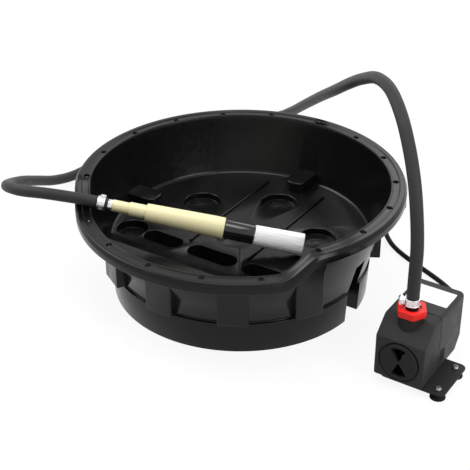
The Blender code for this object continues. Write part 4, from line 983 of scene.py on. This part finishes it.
    def cups(self):
        """Suction cups; those under the screws are bored, and the others have a stem in the foot."""
        names = ("front_left", "rear_left", "front_right", "rear_right")
        under = FOOT_Z[0] - GAP
        top = FOOT_Z[1] - GAP
        for name, spot in zip(names, CUPS):
            body = [(CUP_NECK_R, under, 0.0006), (CUP_WAIST_R, under * 0.55, 0.001),
                    (SUCTION_R, 0.0012, 0.0005), (SUCTION_R, 0, 0.0004), (SUCTION_R - 0.002, 0)]
            if spot in SCREWS:
                corners = [(SCREW_BORE_R, under), *body, (SCREW_BORE_R, under * 0.35)]
            else:
                corners = [(0, top), (STEM_R, top), (STEM_R, under), *body, (0, under * 0.35)]
            piece(f"cup_{name}", moved(spun(rounded(corners), 40), at(*spot)), "rubber", "black_rubber",
                  (f"suction_cup_{name}",))

    def plate(self):
        """The bare plate on top of the casing."""
        top = PUMP_TOP + PLATE_PROUD
        bm = stepped_box(PLATE_X, PLATE_Y, PLATE_CORNER, (
            (0, PUMP_TOP - PLATE_EDGE), (0, top - PLATE_EDGE), (PLATE_EDGE, top)))
        piece("bare_plate", bm, "plate", "pump_plastic")

    def grips(self):
        """Ribbed patches low on both sides, just behind the seam."""
        for side, word in ((-1, "left"), (1, "right")):
            x = PUMP_X + side * PUMP_WIDTH / 2
            for index in range(GRIP_RIBS):
                y = GRIP_START - PUMP_SEAM + index * GRIP_PITCH
                bm = block((x - GRIP_PROUD, x + GRIP_PROUD), (y, y + GRIP_WIDTH),
                           (GRIP_Z[0], GRIP_Z[1] - index * GRIP_PROUD), GRIP_EDGE)
                piece(f"grip_{word}_{index}", bm, "pump", "pump_plastic")

    def execute(self, context):
        self.housing()
        self.cover()
        self.dial()
        self.foot()
        self.cups()
        self.plate()
        self.grips()
        return {"FINISHED"}


class WASHER_OT_outlet(bpy.types.Operator):
    """Build the outlet's collar, union nut and spigot, and the two hose clamps"""

    bl_idname = "washer.outlet"
    bl_label = "Build outlet and clamps"

    def nut(self):
        low, high = NUT_Z
        bm = extruded(circle(NUT_FLATS / math.sqrt(3), 6), "Z", low, high)
        upright = [edge for edge in bm.edges if abs(edge.verts[0].co.z - edge.verts[1].co.z) > 0.001]
        soften(bm, upright, 0.0015, 3)
        soften(bm, [edge for edge in bm.edges if edge.calc_face_angle() > 1.0], 0.0009, 3)
        bore = spun(((0, high + WALL), (NUT_MOUTH_R, high + WALL), NUT_NECK, (SPIGOT_R + GAP, NUT_NECK[1]),
                     (SPIGOT_R + GAP, NUT_THREAD_TOP), (NUT_THREAD_R, NUT_THREAD_TOP),
                     (NUT_THREAD_R, low - WALL), (0, low - WALL)), 48)
        piece("nut_face", moved(carved(bm, removed=[bore]), OUTLET_PLACE), "nut", "red_plastic",
              ("union_nut",), body="nut")

    def spigot(self):
        low, high = SPIGOT_FLANGE_Z
        corners = ((FLOW_BORE_R, SPIGOT_TOP), (SPIGOT_R, SPIGOT_TOP), (SPIGOT_R, high),
                   (SPIGOT_FLANGE_R, high), (SPIGOT_FLANGE_R, low), (FLOW_BORE_R, low))
        piece("spigot", moved(spun(corners), OUTLET_PLACE), "rubber", "black_plastic", ("hose_spigot",))

    def collar(self):
        inner = COLLAR_R - COLLAR_WALL
        foot = PUMP_FACE_TOP - WALL
        corners = ((inner, COLLAR_TOP), (COLLAR_R, COLLAR_TOP, 0.0005), (COLLAR_R, foot), (inner, foot))
        piece("outlet_collar", moved(spun(rounded(corners), 64), OUTLET_PLACE), "dial", "black_plastic")
        refined("volute_housing", "dial", "black_plastic")

    def clamp(self, name, matrix):
        """A worm-drive clamp: slotted band with rolled edges, saddle and screw."""
        inner = CLAMP_R + GAP
        outer = inner + CLAMP_WALL
        half = CLAMP_WIDTH / 2
        roll = CLAMP_ROLL
        low = outer - CLAMP_ROLL_HEIGHT
        band = spun(rounded(((inner, half), (outer, half, 0.0005), (outer, half - roll, 0.0002),
                             (low, half - roll * 1.6, 0.0002), (low, roll * 1.6 - half, 0.0002),
                             (outer, roll - half, 0.0002), (outer, -half, 0.0005), (inner, -half)),
                            True, 3), 64)
        slots = []
        for index in range(CLAMP_SLOTS):
            turn = turned(CLAMP_SLOT_FROM + CLAMP_SLOT_PITCH * index)
            slot = block((outer - CLAMP_SLOT_DEPTH, outer + 0.001), across(CLAMP_SLOT_WIDTH),
                         across(CLAMP_WIDTH * 0.52))
            slots.append(moved(moved(slot, turned(CLAMP_SLOT_LEAN, "X")), turn))
        saddle = block((outer - CLAMP_WALL / 2, outer + CLAMP_SADDLE - CLAMP_WALL),
                       across(CLAMP_SADDLE), across(CLAMP_WIDTH * 0.8), 0.0008, 3)
        seat = outer + CLAMP_SADDLE / 2 - CLAMP_WALL / 2
        bore = extruded([(seat + a, b) for a, b in circle(WORM_BORE_R, 24)], "Y", *across(CLAMP_SADDLE * 2))
        bm = carved(band, added=[saddle], removed=[bore, *slots])
        piece(f"{name}_strap", moved(bm, matrix), "steel", "steel", (f"{name}_band",))
        reach = CLAMP_SADDLE / 2
        head = reach + WORM_HEAD
        tip = -reach - 0.001
        worm = spun(rounded(((0, head), (WORM_HEAD_R, head, 0.0005), (WORM_HEAD_R, reach + GAP),
                             (WORM_R, reach + GAP), (WORM_R, tip, 0.0004), (0, tip))), 32)
        cut = [across(side) for side in WORM_SLOT]
        worm = carved(worm, removed=[block(*cut, (head - WORM_SLOT_DEPTH, head + WORM_SLOT_DEPTH))])
        lie = at(seat, 0) @ turned(math.pi / 2, "X")
        piece(f"{name}_worm", moved(worm, matrix @ lie), "steel", "steel", (f"{name}_screw",))

    def execute(self, context):
        self.nut()
        self.spigot()
        self.collar()
        self.clamp("pump_clamp", at(PUMP_X, -OUTLET, PUMP_CLAMP_Z) @ turned(PUMP_CLAMP_TURN))
        self.clamp("brush_clamp", BRUSH_AXIS)
        return {"FINISHED"}


class WASHER_OT_hose(bpy.types.Operator):
    """Lay the hose from the pump's spigot to the brush"""

    bl_idname = "washer.hose"
    bl_label = "Build hose"

    def execute(self, context):
        diameter = context.scene.washer_sizes.hose_diameter
        spigot = Vector((PUMP_X, -OUTLET, SPIGOT_TOP + GAP))
        rise = [spigot + Vector((0, 0, height)) for height in HOSE_RISE]
        end = BRUSH_TAIL + BRUSH_ALONG * HOSE_END_AT
        run_in = [end - BRUSH_ALONG * back for back in HOSE_RUN_IN]
        route = smooth_route([*rise, *HOSE_ROUTE, *run_in], HOSE_STEP)
        hose = tube("hose_run", route, diameter / 2, "hose", ("hose",))
        route_length(route)
        return {"FINISHED"}


class WASHER_OT_brush(bpy.types.Operator):
    """Build the flow-through brush"""

    bl_idname = "washer.brush"
    bl_label = "Build brush"

    def bristles(self, count):
        """Splayed strands that drift a little on their way to the tip."""
        draw = random.Random(STRAND_SEED)
        bm = bmesh.new()
        low = FERRULE_END_AT - STRAND_ROOT
        faces = []
        strands = []
        for index in range(count):
            radius = STRAND_CORE_R + (BRISTLE_R - STRAND_INSET) * math.sqrt((index + 0.5) / count)
            angle = index * math.pi * (3 - math.sqrt(5))
            spot = Vector((radius * math.cos(angle), radius * math.sin(angle), low))
            corners = circle(STRAND_R, 4, draw.uniform(0, math.tau))
            faces.append(bm.faces.new([bm.verts.new(spot + Vector((x, y, 0))) for x, y in corners]))
            length = BRISTLE_LENGTH + GAP + STRAND_ROOT - draw.uniform(0, STRAND_TRIM) * (radius / BRISTLE_R)
            bend = Vector((draw.gauss(0, STRAND_DRIFT), draw.gauss(0, STRAND_DRIFT), 0))
            strands.append((spot, length, bend))
        for stage in range(1, STRAND_STAGES + 1):
            faces = bmesh.ops.extrude_discrete_faces(bm, faces=faces)["faces"]
            drift = stage / STRAND_STAGES * 1.6 - 0.6
            for face, (spot, length, bend) in zip(faces, strands):
                splay = Vector((spot.x, spot.y, 0)) * ((BRISTLE_SPLAY - 1) / STRAND_STAGES)
                step = splay + bend * drift + Vector((0, 0, length / STRAND_STAGES))
                for vert in face.verts:
                    vert.co += step
        piece("bristles", moved(bm, BRUSH_AXIS), "bristles", "nylon", ("brush_bristles",), angle=50)

    def execute(self, context):
        bm = extruded(circle(FITTING_FLATS / math.sqrt(3), 6), "Z", HOSE_END_AT + GAP, HANDLE_AT - GAP)
        soften(bm, bm.edges, 0.0006, 2)
        bore = cylinder(FLOW_BORE_R, 0, HANDLE_AT + WALL, 32)
        piece("fitting", moved(carved(bm, removed=[bore]), BRUSH_AXIS), "steel", "steel", ("brush_fitting",))
        handle = spun(rounded(HANDLE_SECTION), 96)
        piece("handle", moved(handle, BRUSH_AXIS), "handle", "yellow_plastic", ("brush_handle",))
        low = HANDLE_END_AT + GAP
        seat = FERRULE_END_AT - FERRULE_SEAT
        ferrule = rounded((
            (FLOW_BORE_R, low), (FERRULE_R, low, 0.0006), (FERRULE_R, FERRULE_END_AT, 0.0006),
            (FERRULE_BORE_R, FERRULE_END_AT), (FERRULE_BORE_R, seat), (FLOW_BORE_R, seat)))
        piece("ferrule", moved(spun(ferrule, 96), BRUSH_AXIS), "ferrule", "gloss_black", ("brush_ferrule",))
        self.bristles(context.scene.washer_sizes.bristle_count)
        return {"FINISHED"}


class WASHER_OT_cord(bpy.types.Operator):
    """Lay the power cord with its gland, coil, tie and plug"""

    bl_idname = "washer.cord"
    bl_label = "Build power cord"

    def coil(self):
        """Two layers: in along the first, up and round, and out along the second."""
        half = COIL_HALF_TURNS
        count = round(half * 2 * COIL_POINTS)
        low = CORD_R + TIE_WALL + GAP
        points = []
        for index in range(count + 1):
            turn = half * 2 * index / count
            radius = COIL_R - COIL_PITCH * (half - abs(turn - half))
            climb = min(max((turn - half) * 2 + 0.5, 0), 1)
            height = low + COIL_PITCH * climb * climb * (3 - 2 * climb)
            angle = math.tau * turn
            points.append(COIL_CENTRE + Vector((radius * math.cos(angle), radius * math.sin(angle), height)))
        lead_in = (points[0] - points[1]).normalized() * COIL_LEAD_IN
        lead_out = (points[-1] - points[-2]).normalized() * COIL_LEAD_OUT
        return [points[0] + lead_in] + points + [points[-1] + lead_out]

    def gland(self):
        """A ribbed sleeve that keeps the cord from kinking at the pump."""
        corners = [(0, GLAND_LENGTH + GAP), (CORD_R * 1.3, GLAND_LENGTH + GAP, 0.0005)]
        for index in range(GLAND_RIBS):
            height = GLAND_LENGTH - 0.003 - index * GLAND_RIB_PITCH
            radius = CORD_R * 1.35 + index * GLAND_RIB_GROWTH
            groove = radius - 0.0007
            corners += [(radius, height, 0.0003), (groove, height - 0.0006, 0.0002),
                        (groove, height - 0.0014, 0.0002), (radius + 0.0002, height - 0.0020, 0.0003)]
        corners += [(GLAND_R * 0.8, 0.0055, 0.0005), (GLAND_R, 0.005, 0.0006), (GLAND_R, GAP), (0, GAP)]
        turn = at(PUMP_X, 0, GLAND_Z) @ turned(-math.pi / 2, "X")
        gland = moved(spun(rounded(corners, count=2), 40), turn)
        piece("gland", gland, "rubber", "black_rubber", ("cable_gland",))

    def plug(self, end, along):
        """A plain two-pin plug lying beside the coil."""
        deep = end.z - GAP
        half = PLUG_WIDTH / 2
        sections = []
        for share, wide, thick in ((0, 0.0050, 0.0050), (0.03, 0.0055, 0.0055), (0.36, 0.0068, 0.0066),
                                   (0.52, 0.0095, deep * 0.90), (0.62, half, deep), (0.95, half, deep),
                                   (1.0, half - 0.001, deep - 0.001)):
            sections.append((rounded_box((-thick, thick), (-wide, wide), min(thick, wide) * 0.82),
                             GAP + share * (PLUG_LENGTH - GAP)))
        turn = Matrix.Translation(end) @ along.to_track_quat("Z", "X").to_matrix().to_4x4()
        made = [piece("plug_body", moved(lofted(sections), turn), "rubber", "black_rubber", ("plug",))]
        tip = PLUG_LENGTH + PIN_REACH
        root = PLUG_LENGTH - PIN_ROOT
        for index, side in enumerate((-1, 1)):
            pin = spun(rounded(((0, tip), (PIN_R, tip, 0.001), (PIN_R, root), (0, root))), 24)
            pin = moved(moved(pin, at(0, side * PIN_SPREAD)), turn)
            made.append(piece(f"plug_pin_{index}", pin, "steel", "steel"))
        return made

    def execute(self, context):
        self.gland()
        coil = self.coil()
        start = Vector((PUMP_X, GLAND_LENGTH + GAP * 2, GLAND_Z))
        arrive = (coil[1] - coil[0]).normalized()
        end = coil[0] - arrive * GAP
        run_in = [end - arrive * back for back in CORD_RUN_IN]
        free = smooth_route([start, start + Vector((0, CORD_LEAD, 0)), *CORD_ROUTE, *run_in], CORD_STEP)
        route = free[:-1] + coil
        cord = tube("cord_run", route, CORD_R, "rubber", ("power_cord", "cord_coil"))
        tie = refined("coil_tie", "bristles", "nylon")
        plug = self.plug(coil[-1], (coil[-1] - coil[-2]).normalized())
        route_length(route)
        return {"FINISHED"}


class WASHER_OT_inside(bpy.types.Operator):
    """Finish the working parts inside the pump"""

    bl_idname = "washer.inside"
    bl_label = "Build pump's inside"

    def execute(self, context):
        for row in INSIDE:
            refined(*row)
        return {"FINISHED"}


class WASHER_OT_stage(bpy.types.Operator):
    """Set the floor, the light and the camera"""

    bl_idname = "washer.stage"
    bl_label = "Set stage"

    def background_rays(self, tree):
        """A mask of the rays that see the white background: the camera's, and those in gloss and glass."""
        path = shader_node(tree, "LightPath")
        seen = path.outputs["Is Camera Ray"]
        for label in ("Is Glossy Ray", "Is Transmission Ray"):
            either = shader_node(tree, "Math", operation="MAXIMUM")
            tree.links.new(seen, either.inputs[0])
            tree.links.new(path.outputs[label], either.inputs[1])
            seen = either.outputs["Value"]
        return seen

    def floor(self):
        """A pale floor that takes the shadow and is white to the background's rays."""
        bm = bmesh.new()
        bmesh.ops.create_grid(bm, x_segments=1, y_segments=1, size=FLOOR_SIZE)
        bmesh.ops.translate(bm, vec=(0, 0, -FLOOR_DROP), verts=bm.verts)
        mesh = bpy.data.meshes.new("floor")
        bm.to_mesh(mesh)
        bm.free()
        made = bpy.data.materials.new("white_floor")
        made.use_nodes = True
        tree = made.node_tree
        shader = tree.nodes["Principled BSDF"]
        shader.inputs["Base Color"].default_value = FLOOR_COLOUR
        shader.inputs["Roughness"].default_value = 0.8
        glow = shader_node(tree, "Emission", {"Strength": FLOOR_GLOW})
        share = shader_node(tree, "Math", {1: FLOOR_GLOW_SHARE}, operation="MULTIPLY")
        mix = shader_node(tree, "MixShader")
        tree.links.new(self.background_rays(tree), share.inputs[0])
        wire(tree, (share, "Value", mix, "Fac"), (shader, "BSDF", mix, 1), (glow, "Emission", mix, 2),
             (mix, "Shader", tree.nodes["Material Output"], "Surface"))
        mesh.materials.append(made)
        return bpy.data.objects.new("floor", mesh)

    def lamp(self, name, spot, size, power):
        data = bpy.data.lights.new(name, "AREA")
        data.shape = "RECTANGLE"
        data.size, data.size_y = size
        data.energy = power
        made = bpy.data.objects.new(name, data)
        made.location = spot
        made.rotation_euler = (LAMP_TARGET - Vector(spot)).to_track_quat("-Z", "Y").to_euler()
        return made

    def world(self, scene):
        """Soft light, mostly from behind and above, and white for the background's rays."""
        world = bpy.data.worlds.new("studio")
        world.use_nodes = True
        tree = world.node_tree
        where = shader_node(tree, "TexCoord")
        facing = shader_node(tree, "VectorMath", {1: SKY_TOWARDS}, operation="DOT_PRODUCT")
        level = shader_node(tree, "MapRange", SKY_LEVELS)
        soft = tree.nodes["Background"]
        soft.inputs["Color"].default_value = WHITE
        clear = shader_node(tree, "Background", {"Color": WHITE, "Strength": 1.0})
        mix = shader_node(tree, "MixShader")
        tree.links.new(self.background_rays(tree), mix.inputs["Fac"])
        wire(tree, (where, "Generated", facing, 0), (facing, "Value", level, "Value"),
             (level, "Result", soft, "Strength"), (soft, "Background", mix, 1), (clear, "Background", mix, 2),
             (mix, "Shader", tree.nodes["World Output"], "Surface"))
        scene.world = world

    def camera(self, scene):
        data = bpy.data.cameras.new("camera")
        data.lens = CAMERA_LENS
        data.sensor_width = 36
        made = bpy.data.objects.new("camera", data)
        made.rotation_mode = "QUATERNION"
        made.location = CAMERA_AT
        aim = (CAMERA_TARGET - CAMERA_AT).to_track_quat("-Z", "Y")
        made.rotation_quaternion = aim @ Quaternion((0, 0, 1), CAMERA_ROLL)
        scene.camera = made
        return made

    def execute(self, context):
        scene = context.scene
        made = [self.floor(), self.camera(scene), *[self.lamp(*row) for row in LAMPS]]
        for item in made:
            scene.collection.objects.link(item)
        self.world(scene)
        scene.view_settings.view_transform = "Standard"
        return {"FINISHED"}


STEPS = ("basin", "pump", "outlet", "hose", "brush", "cord", "inside", "stage")


class WASHER_PT_panel(bpy.types.Panel):
    """Sizes, colours and the steps that build the tank"""

    bl_idname = "WASHER_PT_panel"
    bl_label = "Parts washer tank"
    bl_space_type = "VIEW_3D"
    bl_region_type = "UI"
    bl_category = "Washer"

    def draw(self, context):
        for group in (context.scene.washer_sizes, context.scene.washer_colours):
            box = self.layout.box()
            for name in group.__annotations__:
                box.prop(group, name)
        for step in STEPS:
            self.layout.operator(f"washer.{step}")


CLASSES = (WasherSizes, WasherColours, WASHER_OT_basin, WASHER_OT_pump, WASHER_OT_outlet, WASHER_OT_hose,
           WASHER_OT_brush, WASHER_OT_cord, WASHER_OT_inside, WASHER_OT_stage, WASHER_PT_panel)


def register():
    for item in CLASSES:
        bpy.utils.register_class(item)
    bpy.types.Scene.washer_sizes = PointerProperty(type=WasherSizes)
    bpy.types.Scene.washer_colours = PointerProperty(type=WasherColours)


def unregister():
    del bpy.types.Scene.washer_colours
    del bpy.types.Scene.washer_sizes
    for item in reversed(CLASSES):
        bpy.utils.unregister_class(item)


def main():
    register()
    for step in STEPS:
        getattr(bpy.ops.washer, step)()


if __name__ == "__main__":
    main()
